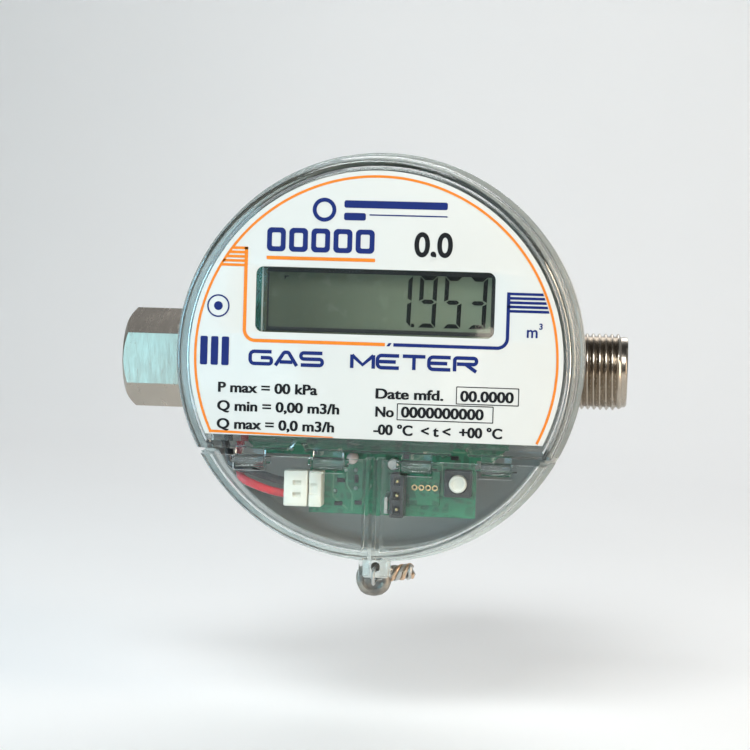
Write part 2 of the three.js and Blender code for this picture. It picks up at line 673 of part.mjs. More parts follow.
const loop = [
  [0, wireBack, sealZ], [0, splitY + 2, sealZ], [0, splitY - 0.5, sealZ], [0, splitY - 2.6, sealZ],
  [0, splitY - 3.7, sealZ - 0.7], [0, splitY - 3.9, sealZ - 2.2], [0, splitY - 2.8, loopLow],
  [0, splitY - 0.5, loopLow], [0, wireBack, loopLow],
];
add(housing, "seal_wire", cord(loop, sealWire, 24), "steel");
const tail = [
  [1.6, sealY, sealDiscZ + 1.4], [3.6, sealY, sealDiscZ + 1.4], [5.6, sealY - 0.3, sealDiscZ + 1.9],
  [7.8, sealY - 0.5, sealDiscZ + 2.1]];
add(housing, "seal_tail", cord(tail, 0.8, 10), "brass");

export default meter;
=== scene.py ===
"""Builds the looks of a small in-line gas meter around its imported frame."""
import json
import math
from contextlib import contextmanager

import bmesh
import bpy
from bpy.props import (BoolProperty, FloatProperty, FloatVectorProperty, IntProperty, PointerProperty,
                       StringProperty)
from mathutils import Matrix, Vector


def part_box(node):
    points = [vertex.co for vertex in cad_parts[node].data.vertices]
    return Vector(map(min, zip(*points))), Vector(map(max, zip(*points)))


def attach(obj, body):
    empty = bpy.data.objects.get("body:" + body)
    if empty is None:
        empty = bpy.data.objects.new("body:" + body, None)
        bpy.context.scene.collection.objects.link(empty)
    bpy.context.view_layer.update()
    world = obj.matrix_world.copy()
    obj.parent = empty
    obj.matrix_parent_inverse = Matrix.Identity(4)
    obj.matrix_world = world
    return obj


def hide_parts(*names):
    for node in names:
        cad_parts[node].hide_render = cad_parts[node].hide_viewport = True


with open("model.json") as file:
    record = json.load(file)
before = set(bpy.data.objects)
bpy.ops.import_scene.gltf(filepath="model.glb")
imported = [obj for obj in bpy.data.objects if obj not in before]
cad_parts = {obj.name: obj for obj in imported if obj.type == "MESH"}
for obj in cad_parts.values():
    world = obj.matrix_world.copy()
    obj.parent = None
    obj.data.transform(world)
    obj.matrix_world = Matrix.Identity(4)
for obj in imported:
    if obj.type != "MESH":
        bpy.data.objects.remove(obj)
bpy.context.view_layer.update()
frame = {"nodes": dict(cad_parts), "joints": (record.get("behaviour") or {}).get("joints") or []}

bl_info = {
    "name": "Gas meter",
    "version": (1, 0, 0),
    "blender": (4, 5, 0),
    "location": "3D View > Sidebar > Gas meter",
    "description": "Adds the covers, face, board, fittings and seal of a small gas meter",
    "category": "Add Mesh",
}

MM = 0.001
METER = "meter"

# ---------------------------------------------------------------- places taken from the frame, in mm


def mm_box(node):
    low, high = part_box(node)
    return low / MM, high / MM


HOUSING_LOW, HOUSING_HIGH = mm_box("base_housing")
COVER_LOW, COVER_HIGH = mm_box("front_cover")
DOOR_LOW, DOOR_HIGH = mm_box("battery_cover")
BOARD_LOW, BOARD_HIGH = mm_box("circuit_board")
FLANGE_R = (HOUSING_HIGH.x - HOUSING_LOW.x) / 2
AXIS_Z = HOUSING_HIGH.z - FLANGE_R
FACE_Y = DOOR_LOW.y
JOINT_Y = COVER_HIGH.y
BACK_Y = HOUSING_HIGH.y
BOARD_Y = BOARD_LOW.y
HINGE = next(Vector(j["pos_m"]) / MM for j in frame["joints"] if j["name"] == "battery_cover_hinge")
DOOR_TOP = DOOR_HIGH.z
SHELF_Z = HINGE.z + 2.1
LUGS = [-25, -9, 9, 25]
NOTCHES = [-15.5, 17.6]


class MeterSizes(bpy.types.PropertyGroup):
    rim_round: FloatProperty(name="Front edge round", description="Radius of the clear front's edge, mm",
                             default=1.6, min=0.3, max=3)
    rim_step: FloatProperty(name="Rim step", description="Clear wall inside the flange, mm",
                            default=1.2, min=0.4, max=2)
    flange_deep: FloatProperty(name="Flange depth", description="Depth of the clear flange, mm",
                               default=4, min=2, max=8)
    clear_thick: FloatProperty(name="Clear wall", description="Thickness of the fixed clear front, mm",
                               default=2, min=1, max=3)
    door_thick: FloatProperty(name="Door wall", description="Thickness of the hinged clear covers, mm",
                              default=1.5, min=0.8, max=2.5)
    ring_radius: FloatProperty(name="Printed ring", description="Radius of the orange ring, mm",
                               default=36.6, min=30, max=37.5)
    thread_pitch: FloatProperty(name="Thread pitch", description="Pitch of the outlet thread, mm",
                                default=1.337, min=0.8, max=2.4)
    wire_radius: FloatProperty(name="Battery lead", description="Outer radius of one lead, mm",
                               default=0.85, min=0.4, max=1.2)
    turn_steps: IntProperty(name="Steps round", description="Steps of the large turned pieces",
                            default=144, min=48, max=256)
    reading: StringProperty(name="Reading", description="Digits on the display", default="1.953")
    show_unit: BoolProperty(name="Unit", description="Print the unit beside the display", default=True)


def colour(name, description, rgb):
    return FloatVectorProperty(name=name, description=description, subtype="COLOR", size=3,
                               min=0, max=1, default=rgb)


class MeterColours(bpy.types.PropertyGroup):
    housing: colour("Housing", "Grey plastic of the base", (0.50, 0.51, 0.49))
    clear: colour("Clear plastic", "Tint of the clear covers", (0.90, 0.93, 0.925))
    film: colour("Label", "Label film", (0.67, 0.68, 0.655))
    orange: colour("Orange ink", "Ring, rules and stripes", (0.80, 0.22, 0.018))
    blue: colour("Blue ink", "Title, stripes and unit", (0.007, 0.020, 0.15))
    black: colour("Black ink", "Small print", (0.008, 0.008, 0.010))
    board: colour("Board", "Solder mask", (0.008, 0.115, 0.055))
    screen: colour("Screen", "Display ground", (0.20, 0.235, 0.165))
    nickel: colour("Nickel", "Plated fittings", (0.42, 0.37, 0.31))
    cast: colour("Body metal", "Cast and turned body", (0.56, 0.57, 0.57))
    red: colour("Red lead", "Positive lead", (0.62, 0.020, 0.035))
    ivory: colour("White parts", "Plug and socket", (0.78, 0.75, 0.66))


def sizes():
    return bpy.context.scene.meter_sizes


def colours():
    return bpy.context.scene.meter_colours


# ---------------------------------------------------------------- node maths


class Value:
    """A number socket of a material, on which ordinary arithmetic adds Math nodes."""

    def __init__(self, finish, socket):
        self.finish, self.socket = finish, socket

    def _math(self, operation, *terms):
        made = self.finish.node("Math", {"operation": operation}, list(terms))
        return Value(self.finish, made.outputs[0])

    def __add__(self, other):
        return self._math("ADD", self, other)

    def __radd__(self, other):
        return self._math("ADD", other, self)

    def __sub__(self, other):
        return self._math("SUBTRACT", self, other)

    def __rsub__(self, other):
        return self._math("SUBTRACT", other, self)

    def __mul__(self, other):
        return self._math("MULTIPLY", self, other)

    def __rmul__(self, other):
        return self._math("MULTIPLY", other, self)

    def __truediv__(self, other):
        return self._math("DIVIDE", self, other)

    def __pow__(self, other):
        return self._math("POWER", self, other)

    def above(self, edge):
        return self._math("GREATER_THAN", self, edge)

    def sine(self):
        return self._math("SINE", self)

    def clamped(self):
        return self._math("MINIMUM", self._math("MAXIMUM", self, 0.0), 1.0)


class Finish:
    """One material: its nodes, and the Principled shader that they feed."""

    def __init__(self, name):
        self.material = bpy.data.materials.new(name)
        self.material.use_nodes = True
        self.tree = self.material.node_tree
        self.tree.nodes.clear()
        self.shader = self.node("BsdfPrincipled")
        self.output = self.node("OutputMaterial")
        self.link(self.shader.outputs[0], self.output.inputs["Surface"])
        self.place = self.node("TexCoord").outputs["Object"]

    def link(self, source, target):
        self.tree.links.new(source, target)

    def node(self, kind, settings=None, values=()):
        """Adds a node of a type, sets it up, then gives its sockets their values or links."""
        made = self.tree.nodes.new("ShaderNode" + kind)
        for key, setting in (settings or {}).items():
            if key == "stops":
                ramp = made.color_ramp.elements
                while len(ramp) < len(setting):
                    ramp.new(0.5)
                for element, (at, shade) in zip(ramp, setting):
                    element.position, element.color = at, (*shade, 1)
            else:
                setattr(made, key, setting)
        pairs = values.items() if isinstance(values, dict) else enumerate(values)
        for key, value in pairs:
            socket = made.inputs[key]
            if isinstance(value, Value):
                self.link(value.socket, socket)
            elif isinstance(value, bpy.types.NodeSocket):
                self.link(value, socket)
            elif socket.type == "RGBA":
                socket.default_value = (*value, 1)
            else:
                socket.default_value = value
        return made

    def stretched(self, scale=(1, 1, 1), turn=(0, 0, 0)):
        values = {"Vector": self.place, "Scale": scale, "Rotation": turn}
        return self.node("Mapping", values=values).outputs[0]

    def noise(self, size_mm, detail=3.0, where=None, rough=0.5):
        made = self.node("TexNoise", values={
            "Vector": where or self.place, "Scale": 1 / (size_mm * MM), "Detail": detail, "Roughness": rough})
        return Value(self, made.outputs["Fac"])

    def cells(self, size_mm, feature="F1", where=None):
        made = self.node("TexVoronoi", {"feature": feature},
                         {"Vector": where or self.place, "Scale": 1 / (size_mm * MM)})
        return Value(self, made.outputs["Distance"])

    def axis(self, letter):
        made = self.node("SeparateXYZ", values=[self.place])
        return Value(self, made.outputs[letter])

    def mixed(self, amount, low, high):
        made = self.node("Mix", {"data_type": "RGBA"}, {"Factor": amount, "A": low, "B": high})
        return made.outputs[2]

    def bumped(self, height, depth_mm, strength=1.0):
        made = self.node("Bump", values={
            "Strength": strength, "Distance": depth_mm * MM, "Height": height})
        self.feed("Normal", made.outputs["Normal"])

    def feed(self, name, value):
        socket = self.shader.inputs[name]
        if isinstance(value, Value):
            self.link(value.socket, socket)
        elif isinstance(value, bpy.types.NodeSocket):
            self.link(value, socket)
        elif socket.type == "RGBA":
            socket.default_value = (*value, 1)
        else:
            socket.default_value = value
        return self

    def worn_edges(self, reach_mm):
        """1 on outside edges, 0 on open faces."""
        made = self.node("NewGeometry")
        point = Value(self, made.outputs["Pointiness"])
        return ((point - 0.5) * (reach_mm * 12)).clamped()


def tinted(rgb, share):
    """The colour, lighter for a share above 1 and darker below it."""
    return tuple(min(1.0, c * share) for c in rgb)


def moulded(name, rgb, rough=0.5, grain_mm=0.5, bump_mm=0.02, spread=0.18, coat=0.0):
    f = Finish(name)
    broad, fine = f.noise(14), f.noise(grain_mm, 4)
    f.feed("Base Color", f.mixed(broad, tinted(rgb, 1 - spread), tinted(rgb, 1 + spread)))
    f.feed("Roughness", rough + (f.noise(6, 4) - 0.5) * 0.22)
    f.feed("Coat Weight", coat)
    f.bumped(fine, bump_mm)
    return f.material


def metal(name, rgb, rough=0.3, streak=(1, 1, 1), streak_mm=0.35, bump_mm=0.012, spread=0.2):
    f = Finish(name)
    along = f.noise(streak_mm, 4, f.stretched(streak))
    broad = f.noise(9, 4)
    f.feed("Base Color", f.mixed(broad, tinted(rgb, 1 - spread), tinted(rgb, 1 + spread * 0.6)))
    f.feed("Metallic", 1.0)
    f.feed("Roughness", rough + (along - 0.5) * 0.24 + (broad - 0.5) * 0.12)
    f.bumped(along, bump_mm)
    return f.material


def clear_plastic(name, rgb, haze, rough, grain_mm, bend, lets):
    """Clear moulding that lets the lamps through, with a thin haze, scuffs and a moulded grain."""
    f = Finish(name)
    scuff = f.noise(0.9, 5, f.stretched((1, 1, 6), (0, 0.5, 0)))
    f.feed("Base Color", f.mixed(f.noise(11, 2), tinted(rgb, 0.96), tinted(rgb, 1.02)))
    f.feed("Roughness", (scuff + 0.5) * rough)
    f.feed("Transmission Weight", 1.0)
    f.feed("IOR", bend)
    f.bumped(f.noise(7, 1) + f.noise(0.8, 3) * grain_mm, 0.02)
    milk = f.node("BsdfPrincipled", values={"Base Color": tinted(rgb, 0.8), "Roughness": 0.5})
    veil = (haze + (f.noise(3.2, 5) - 0.5) * haze * 1.4).clamped()
    hazed = f.node("MixShader", values={0: veil, 1: f.shader.outputs[0], 2: milk.outputs[0]})
    lit = f.node("BsdfTransparent", values={"Color": (lets, lets, lets)})
    lamps = f.node("LightPath").outputs["Is Shadow Ray"]
    mix = f.node("MixShader", values={0: lamps, 1: hazed.outputs[0], 2: lit.outputs[0]})
    f.link(mix.outputs[0], f.output.inputs["Surface"])
    return f.material


def printed_film(name, rgb):
    f = Finish(name)
    f.feed("Base Color", f.mixed(f.noise(18), tinted(rgb, 0.96), tinted(rgb, 1.03)))
    f.feed("Roughness", 0.42 + (f.noise(5, 4) - 0.5) * 0.16)
    f.feed("Coat Weight", 0.25)
    f.bumped(f.noise(2.4, 3), 0.01)
    return f.material


def ink(name, rgb):
    f = Finish(name)
    f.feed("Base Color", f.mixed(f.noise(1.2, 5), tinted(rgb, 0.85), tinted(rgb, 1.12)))
    f.feed("Roughness", 0.5 + (f.noise(0.6, 3) - 0.5) * 0.2)
    f.feed("Specular IOR Level", 0.2)
    f.bumped(f.noise(0.3, 2), 0.004)
    return f.material


def board_finish(name, rgb):
    """Solder mask with tracks running both ways, and the weave faintly under it."""
    f = Finish(name)
    ways = [f.cells(2.1, "DISTANCE_TO_EDGE", f.stretched(s)) for s in ((1, 1, 0.25), (0.25, 1, 1))]
    tracks = ((ways[0].above(0.10)) * (ways[1].above(0.10))).clamped()
    weave = (f.axis("X") * 9000).sine() * (f.axis("Z") * 9000).sine()
    f.feed("Base Color", f.mixed(tracks, tinted(rgb, 1.7), rgb))
    f.feed("Roughness", 0.32 + f.noise(2, 3) * 0.18)
    f.feed("Coat Weight", 0.3)
    f.bumped(tracks * 0.5 + weave * 0.06, 0.05)
    return f.material


def screen_ground_and_painted_light(name, rgb):
    """Display ground: greenish grey, with painted light across it, dark on the left and brighter towards the
    right.
    """
    f = Finish(name)
    # painted light: the ground colour is darkened on the left and brightened towards the right, by its place
    # along X
    across = ((f.axis("X") * 24) + 0.4).clamped()
    f.feed("Base Color", f.mixed(across, tinted(rgb, 0.55), tinted(rgb, 1.5)))
    f.feed("Roughness", 0.2 + f.noise(3, 3) * 0.12)
    f.feed("Specular IOR Level", 0.3)
    f.bumped(f.noise(1.5, 2), 0.003)
    return f.material


def lead_finish(name, rgb):
    f = Finish(name)
    f.feed("Base Color", f.mixed(f.noise(2.6, 4), tinted(rgb, 0.8), tinted(rgb, 1.25)))
    f.feed("Roughness", 0.3 + f.noise(1.2, 3) * 0.25)
    f.feed("Coat Weight", 0.35)
    f.bumped(f.noise(0.8, 3), 0.02)
    return f.material


def seal_finish(name):
    """Soft grey seal metal, pressed and handled: dark in the hollows, bright on the rubbed edges."""
    f = Finish(name)
    rub = (f.worn_edges(0.5) + (f.noise(1.4, 5) - 0.5) * 0.9).clamped()
    f.feed("Base Color", f.mixed(rub, (0.20, 0.19, 0.175), (0.62, 0.56, 0.46)))
    f.feed("Metallic", 0.9)
    f.feed("Roughness", 0.32 + f.noise(0.9, 4) * 0.3)
    f.bumped(f.noise(1.1, 4), 0.16)
    return f.material


FINISHES = {}


def finish(name):
    """A material by name, made the first time that a piece asks for it."""
    if name not in FINISHES:
        c = colours()
        makers = {
            "housing": lambda: moulded("grey_housing", c.housing, 0.5),
            "clear": lambda: clear_plastic("clear_front", tinted(c.clear, 0.9), 0.006, 0.03, 0.1, 1.45, 0.6),
            "door": lambda: clear_plastic("clear_door", c.clear, 0.014, 0.04, 0.5, 1.3, 0.88),
            "film": lambda: printed_film("label_film", c.film),
            "orange": lambda: ink("orange_ink", c.orange),
            "blue": lambda: ink("blue_ink", c.blue),
            "black_ink": lambda: ink("black_ink", c.black),
            "board": lambda: board_finish("solder_mask", c.board),
            "screen": lambda: screen_ground_and_painted_light("display_ground", c.screen),
            "segment": lambda: ink("display_segment", (0.004, 0.006, 0.005)),
            "pane_edge": lambda: moulded("glass_edge", (0.60, 0.66, 0.56), 0.15, coat=0.6),
            "track": lambda: moulded("covered_track", (0.10, 0.30, 0.17), 0.3),
            "black": lambda: moulded("black_moulding", (0.022, 0.022, 0.023), 0.42),
            "ivory": lambda: moulded("white_moulding", c.ivory, 0.38, spread=0.08),
            "rubber": lambda: moulded("black_rubber", (0.02, 0.02, 0.02), 0.8),
            "nickel": lambda: metal("nickel_plate", c.nickel, 0.24, (1, 0.2, 0.2), 0.8),
            "cast": lambda: metal("body_metal", c.cast, 0.42, (1, 0.12, 1), 0.5, 0.03),
            "steel": lambda: metal("zinc_steel", (0.52, 0.52, 0.50), 0.3),
            "brass": lambda: metal("plain_brass", (0.62, 0.44, 0.18), 0.3),
            "gold": lambda: metal("gold_contact", (0.80, 0.60, 0.30), 0.25),
            "solder": lambda: metal("solder", (0.62, 0.62, 0.60), 0.3),
            "black_lead": lambda: lead_finish("black_insulation", (0.014, 0.014, 0.016)),
            "red_lead": lambda: lead_finish("red_insulation", c.red),
            "sleeve": lambda: lead_finish("cell_sleeve", (0.03, 0.14, 0.25)),
            "seal": lambda: seal_finish("seal_metal"),
            "copper": lambda: metal("seal_wire_copper", (0.72, 0.50, 0.34), 0.3),
            "lamp": lambda: moulded("lamp_lens", (0.80, 0.66, 0.62), 0.2, coat=0.5),
        }
        FINISHES[name] = makers[name]()
    return FINISHES[name]


# ---------------------------------------------------------------- modelling helpers


def let_go():
    if bpy.context.object and bpy.context.object.mode != "OBJECT":
        bpy.ops.object.mode_set(mode="OBJECT")
    bpy.ops.object.select_all(action="DESELECT")


def only(*pieces):
    let_go()
    for piece in pieces:
        piece.select_set(True)
    bpy.context.view_layer.objects.active = pieces[0]
    return pieces[0]


@contextmanager
def shaping(piece, pick="ALL"):
    """Edit mode on one piece, with all or nothing picked."""
    only(piece)
    bpy.ops.object.mode_set(mode="EDIT")
    bpy.ops.mesh.select_mode(type="VERT")
    bpy.ops.mesh.select_all(action="SELECT" if pick == "ALL" else "DESELECT")
    yield
    bpy.ops.object.mode_set(mode="OBJECT")


def pick_faces(piece, test):
    """In edit mode, picks the faces whose middle and normal, in mm, pass the test."""
    bpy.ops.mesh.select_mode(type="FACE")
    mesh = bmesh.from_edit_mesh(piece.data)
    for face in mesh.faces:
        face.select_set(bool(test(face.calc_center_median() / MM, face.normal)))
    bmesh.update_edit_mesh(piece.data)


def place(piece):
    only(piece)
    bpy.ops.object.transform_apply(location=True, rotation=True, scale=True)
    return piece


def block(name, low, high, edge=0.15, segments=2):
    """A box between two corners, in mm, with its edges eased."""
    low, high = Vector(low), Vector(high)
    let_go()
    bpy.ops.mesh.primitive_cube_add(size=1, location=(low + high) / 2 * MM)
    piece = bpy.context.object
    piece.name = name
    piece.scale = (high - low) * MM
    place(piece)
    if edge:
        with shaping(piece):
            bpy.ops.mesh.bevel(offset=edge * MM, segments=segments, affect="EDGES")
    return piece


def filleted(corners, closed=True, steps=5):
    """A path of (a, b) or (a, b, fillet) corners with the fillets drawn as short arcs."""
    path = []
    count = len(corners)
    for i, corner in enumerate(corners):
        point = Vector(corner[:2])
        radius = corner[2] if len(corner) > 2 else 0
        if not radius or (not closed and i in (0, count - 1)):
            path.append(tuple(point))
            continue
        to_last = (Vector(corners[i - 1][:2]) - point).normalized()
        to_next = (Vector(corners[(i + 1) % count][:2]) - point).normalized()
        half = to_last.angle(to_next) / 2
        middle = point + (to_last + to_next).normalized() * radius / math.sin(half)
        first = point + to_last * radius / math.tan(half) - middle
        last = point + to_next * radius / math.tan(half) - middle
        for k in range(steps + 1):
            path.append(tuple(middle + first.lerp(last, k / steps).normalized() * radius))
    return path


def arc(centre, radius, start, end, steps):
    """Points of an arc, angles in degrees."""
    angles = [math.radians(start + (end - start) * i / steps) for i in range(steps + 1)]
    return [(centre[0] + radius * math.cos(a), centre[1] + radius * math.sin(a)) for a in angles]


def wire(name, points):
    """A line of joined vertices through the points, in mm, drawn by extruding one vertex."""
    let_go()
    bpy.ops.mesh.primitive_plane_add(size=MM)
    piece = bpy.context.object
    piece.name = name
    points = [Vector(p) * MM for p in points]
    bpy.ops.object.mode_set(mode="EDIT")
    bpy.ops.mesh.select_mode(type="VERT")
    bpy.ops.mesh.select_all(action="SELECT")
    bpy.ops.mesh.merge(type="CENTER")
    bpy.ops.transform.translate(value=points[0])
    for a, b in zip(points, points[1:]):
        bpy.ops.mesh.extrude_region_move(TRANSFORM_OT_translate={"value": b - a})
    bpy.ops.object.mode_set(mode="OBJECT")
    return piece


AXES = {"X": (1, 0, 0), "Y": (0, 1, 0)}


def turned(name, profile, axis="Y", centre=(0, 0, 0), steps=64, closed=True):
    """Spins a profile of (radius, along) points about an axis through centre, all in mm."""
    centre = Vector(centre)
    rim = list(profile) + ([profile[0]] if closed else [])
    if axis == "Y":
        points = [centre + Vector((r, t, 0)) for r, t in rim]
    else:
        points = [centre + Vector((t, r, 0)) for r, t in rim]
    piece = wire(name, points)
    with shaping(piece):
        bpy.ops.mesh.spin(steps=steps, angle=2 * math.pi, center=centre * MM, axis=AXES[axis])
        bpy.ops.mesh.select_all(action="SELECT")
        bpy.ops.mesh.remove_doubles(threshold=2e-6)
        bpy.ops.mesh.normals_make_consistent(inside=False)
    return piece


def welded(piece):
    """Merges the doubles that a converted curve leaves, with the normals outward."""
    with shaping(piece):
        bpy.ops.mesh.remove_doubles(threshold=1e-6)
        bpy.ops.mesh.normals_make_consistent(inside=False)
    return piece


PLANES = {
    "XZ": Matrix(((1, 0, 0, 0), (0, 0, -1, 0), (0, 1, 0, 0), (0, 0, 0, 1))),
    "YZ": Matrix(((0, 0, 1, 0), (1, 0, 0, 0), (0, 1, 0, 0), (0, 0, 0, 1))),
}


def flat_shape(name, outlines, low, high, plane="XZ", edge=0.0, edge_steps=2):
    """Material cut to outlines, the first the edge and the rest holes, between two depths, in mm."""
    curve = bpy.data.curves.new(name, "CURVE")
    curve.dimensions, curve.fill_mode = "2D", "BOTH"
    curve.extrude = ((high - low) / 2 - edge) * MM
    curve.bevel_depth, curve.offset, curve.bevel_resolution = edge * MM, -edge * MM, edge_steps
    for outline in outlines:
        spline = curve.splines.new("POLY")
        spline.points.add(len(outline) - 1)
        for point, (a, b) in zip(spline.points, outline):
            point.co = (a * MM, b * MM, 0, 1)
        spline.use_cyclic_u = True
    piece = bpy.data.objects.new(name, curve)
    bpy.context.scene.collection.objects.link(piece)
    middle = (low + high) / 2 * MM
    shift = (0, middle, 0) if plane == "XZ" else (middle, 0, 0)
    piece.matrix_world = Matrix.Translation(shift) @ PLANES[plane]
    only(piece)
    bpy.ops.object.convert(target="MESH")
    return welded(place(bpy.context.object))


def cut_or_join(piece, tool, operation):
    change = piece.modifiers.new("change", "BOOLEAN")
    change.operation, change.solver, change.object = operation, "EXACT", tool
    only(piece)
    bpy.ops.object.modifier_apply(modifier=change.name)
    bpy.data.objects.remove(tool)
    return piece


def cut(piece, *tools):
    for tool in tools:
        cut_or_join(piece, tool, "DIFFERENCE")
    return piece


def fuse(piece, *others):
    for other in others:
        cut_or_join(piece, other, "UNION")
    return piece


def group(name, pieces):
    """Several bodies of one kind as one piece."""
    only(*pieces)
    if len(pieces) > 1:
        bpy.ops.object.join()
    piece = bpy.context.object
    piece.name = name
    return piece


def copied(piece, name, shift):
    """A copy with its own mesh, moved by the shift in mm."""
    only(piece)
    bpy.ops.object.duplicate()
    twin = bpy.context.object
    twin.name = name
    twin.location += Vector(shift) * MM
    return place(twin)


def sliced(piece, at, normal):
    """Keeps what lies behind the plane, and closes the cut."""
    with shaping(piece):
        bpy.ops.mesh.bisect(plane_co=Vector(at) * MM, plane_no=normal, use_fill=True, clear_outer=True)
    return piece


def pin(name, radius, low, high, axis="Y", at=(0, 0), edge=0.1, steps=32):
    """A round bar with eased ends. at is (x, z) for a bar along Y, and (y, z) along X."""
    corners = [(0, low), (radius, low, edge), (radius, high, edge), (0, high)]
    profile = filleted(corners, closed=False, steps=3)
    centre = (at[0], 0, at[1]) if axis == "Y" else (0, at[0], at[1])
    return turned(name, profile, axis, centre, steps, closed=False)


def tube(name, points, radius, sides=8, smooth=6, tilt=0.0):
    """A round cord through given points, in mm."""
    curve = bpy.data.curves.new(name, "CURVE")
    curve.dimensions, curve.bevel_depth, curve.bevel_resolution = "3D", radius * MM, sides // 2
    curve.resolution_u, curve.use_fill_caps = smooth, True
    spline = curve.splines.new("NURBS")
    spline.points.add(len(points) - 1)
    for point, place_mm in zip(spline.points, points):
        point.co = (*(Vector(place_mm[:3]) * MM), 1)
        point.radius = place_mm[3] if len(place_mm) > 3 else 1
    spline.order_u, spline.use_endpoint_u = 4, True
    piece = bpy.data.objects.new(name, curve)
    bpy.context.scene.collection.objects.link(piece)
    only(piece)
    bpy.ops.object.convert(target="MESH")
    return welded(bpy.context.object)


def lettering(name, words, height, at, y, bold=0.0, wide=1.0, lean=0.0, right=False, thick=0.04):
    """Raised print of the given cap height, its base line starting at (x, z), in mm."""
    let_go()
    bpy.ops.object.text_add()
    piece = bpy.context.object
    piece.name = name
    line = piece.data
    line.body, line.size, line.shear = words, height / 0.73 * MM, lean
    line.extrude, line.offset = thick / 2 * MM, bold * MM
    line.align_x = "RIGHT" if right else "LEFT"
    piece.matrix_world = (Matrix.Translation(Vector((at[0], y, at[1])) * MM) @ PLANES["XZ"]
                          @ Matrix.Diagonal((wide, 1, 1, 1)))
    only(piece)
    bpy.ops.object.convert(target="MESH")
    return welded(place(bpy.context.object))


def done(piece, body, look, replaces=(), smooth=32):
    """Last steps of every piece: seat it, smooth it, finish it, and tie it to its body."""
    place(piece)
    bpy.ops.object.shade_smooth_by_angle(angle=math.radians(smooth))
    piece.data.materials.clear()
    piece.data.materials.append(finish(look))
    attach(piece, body)
    if replaces:
        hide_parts(*replaces)
    return piece


# ---------------------------------------------------------------- clear covers


def clear_profile(thick, back):
    """Section of the round clear moulding, from the middle of the face out to the flange."""
    s = sizes()
    r, front = FLANGE_R - s.rim_step, FACE_Y
    flange = back - s.flange_deep
    return filleted([
        (0, front), (r, front, s.rim_round), (r, flange, 0.4), (FLANGE_R, flange, 0.5), (FLANGE_R, back, 0.3),
        (r - thick, back, 0.3), (r - thick, front + thick, 0.8), (0, front + thick),
    ], closed=False)


def clear_round(name, thick, back):
    return turned(name, clear_profile(thick, back), "Y", (0, 0, AXIS_Z), sizes().turn_steps, closed=False)


def lug(x, wide=6):
    """One hinge lug: a ring round the hinge line, open below, on a neck up to the clear front."""
    bore, ring = 1.05, 1.75
    y, z = HINGE.y, HINGE.z
    outline = [(y - ring, z + 3.0), (y - ring, z)]
    outline += arc((y, z), ring, 180, 250, 8) + arc((y, z), bore, 235, -55, 16)
    outline += arc((y, z), ring, 290, 360, 8) + [(y + ring, z + 3.0)]
    return flat_shape("lug", [outline], x - wide / 2, x + wide / 2, "YZ", edge=0.12)


class METER_OT_clear_front(bpy.types.Operator):
    """Adds the fixed clear front with its shelf, notches and hinge lugs"""
    bl_idname = "meter.clear_front"
    bl_label = "Clear front"

    def execute(self, context):
        s = sizes()
        r = FLANGE_R - s.rim_step
        shell = clear_round("clear_front", s.clear_thick, JOINT_Y)
        sliced(shell, (0, 0, SHELF_Z), (0, 0, -1))
        half = math.sqrt((r - s.clear_thick + 0.4) ** 2 - (AXIS_Z - SHELF_Z) ** 2)
        shelf = block("shelf", (-half, FACE_Y + 1, SHELF_Z), (half, FACE_Y + 10, SHELF_Z + 1.5), 0.2)
        fuse(shell, shelf)
        cut(shell, *[pin("notch", 1.75, FACE_Y - 1, FACE_Y + 12, "Y", (x, SHELF_Z)) for x in NOTCHES])
        fuse(shell, *[lug(x) for x in LUGS])
        done(shell, METER, "clear", ["front_cover"])
        return {"FINISHED"}


def door(name, side):
    """One hinged cover: shell, seam wall, hinge pins in their windows and the seal prong."""
    s = sizes()
    r = FLANGE_R - s.rim_step
    back = JOINT_Y
    shell = clear_round(name, s.door_thick, back)
    sliced(shell, (0, 0, DOOR_TOP), (0, 0, 1))
    sliced(shell, (0.4 * side, 0, 0), (-side, 0, 0))
    near, far = sorted((0.4 * side, (0.4 + s.door_thick) * side))
    fuse(shell, block("seam_wall", (near, FACE_Y + 0.6, AXIS_Z - r + 0.9), (far, FACE_Y + 9, DOOR_TOP), 0.12))
    near, far = sorted((1.1 * side, 3.3 * side))
    fuse(shell, block("prong", (near, back - 2, DOOR_LOW.z), (far, back, AXIS_Z - r + 0.7), 0.3))
    mine = [x for x in LUGS if x * side > 0]
    window = [block("window", (x - 3.4, FACE_Y - 1, HINGE.z - 2.2), (x + 3.4, FACE_Y + 3, DOOR_TOP + 1), 0.35)
              for x in mine]
    cut(shell, *window)
    fuse(shell, *[pin("hinge_pin", 0.8, x - 4.2, x + 4.2, "X", (HINGE.y, HINGE.z)) for x in mine])
    return shell


class METER_OT_clear_doors(bpy.types.Operator):
    """Adds the two hinged clear covers over the battery lead and the terminals"""
    bl_idname = "meter.clear_doors"
    bl_label = "Hinged clear covers"

    def execute(self, context):
        done(door("battery_door", -1), "battery_cover", "door", ["battery_cover"])
        done(door("terminal_door", 1), "terminal_cover", "door", ["terminal_cover"])
        return {"FINISHED"}


# ---------------------------------------------------------------- housing


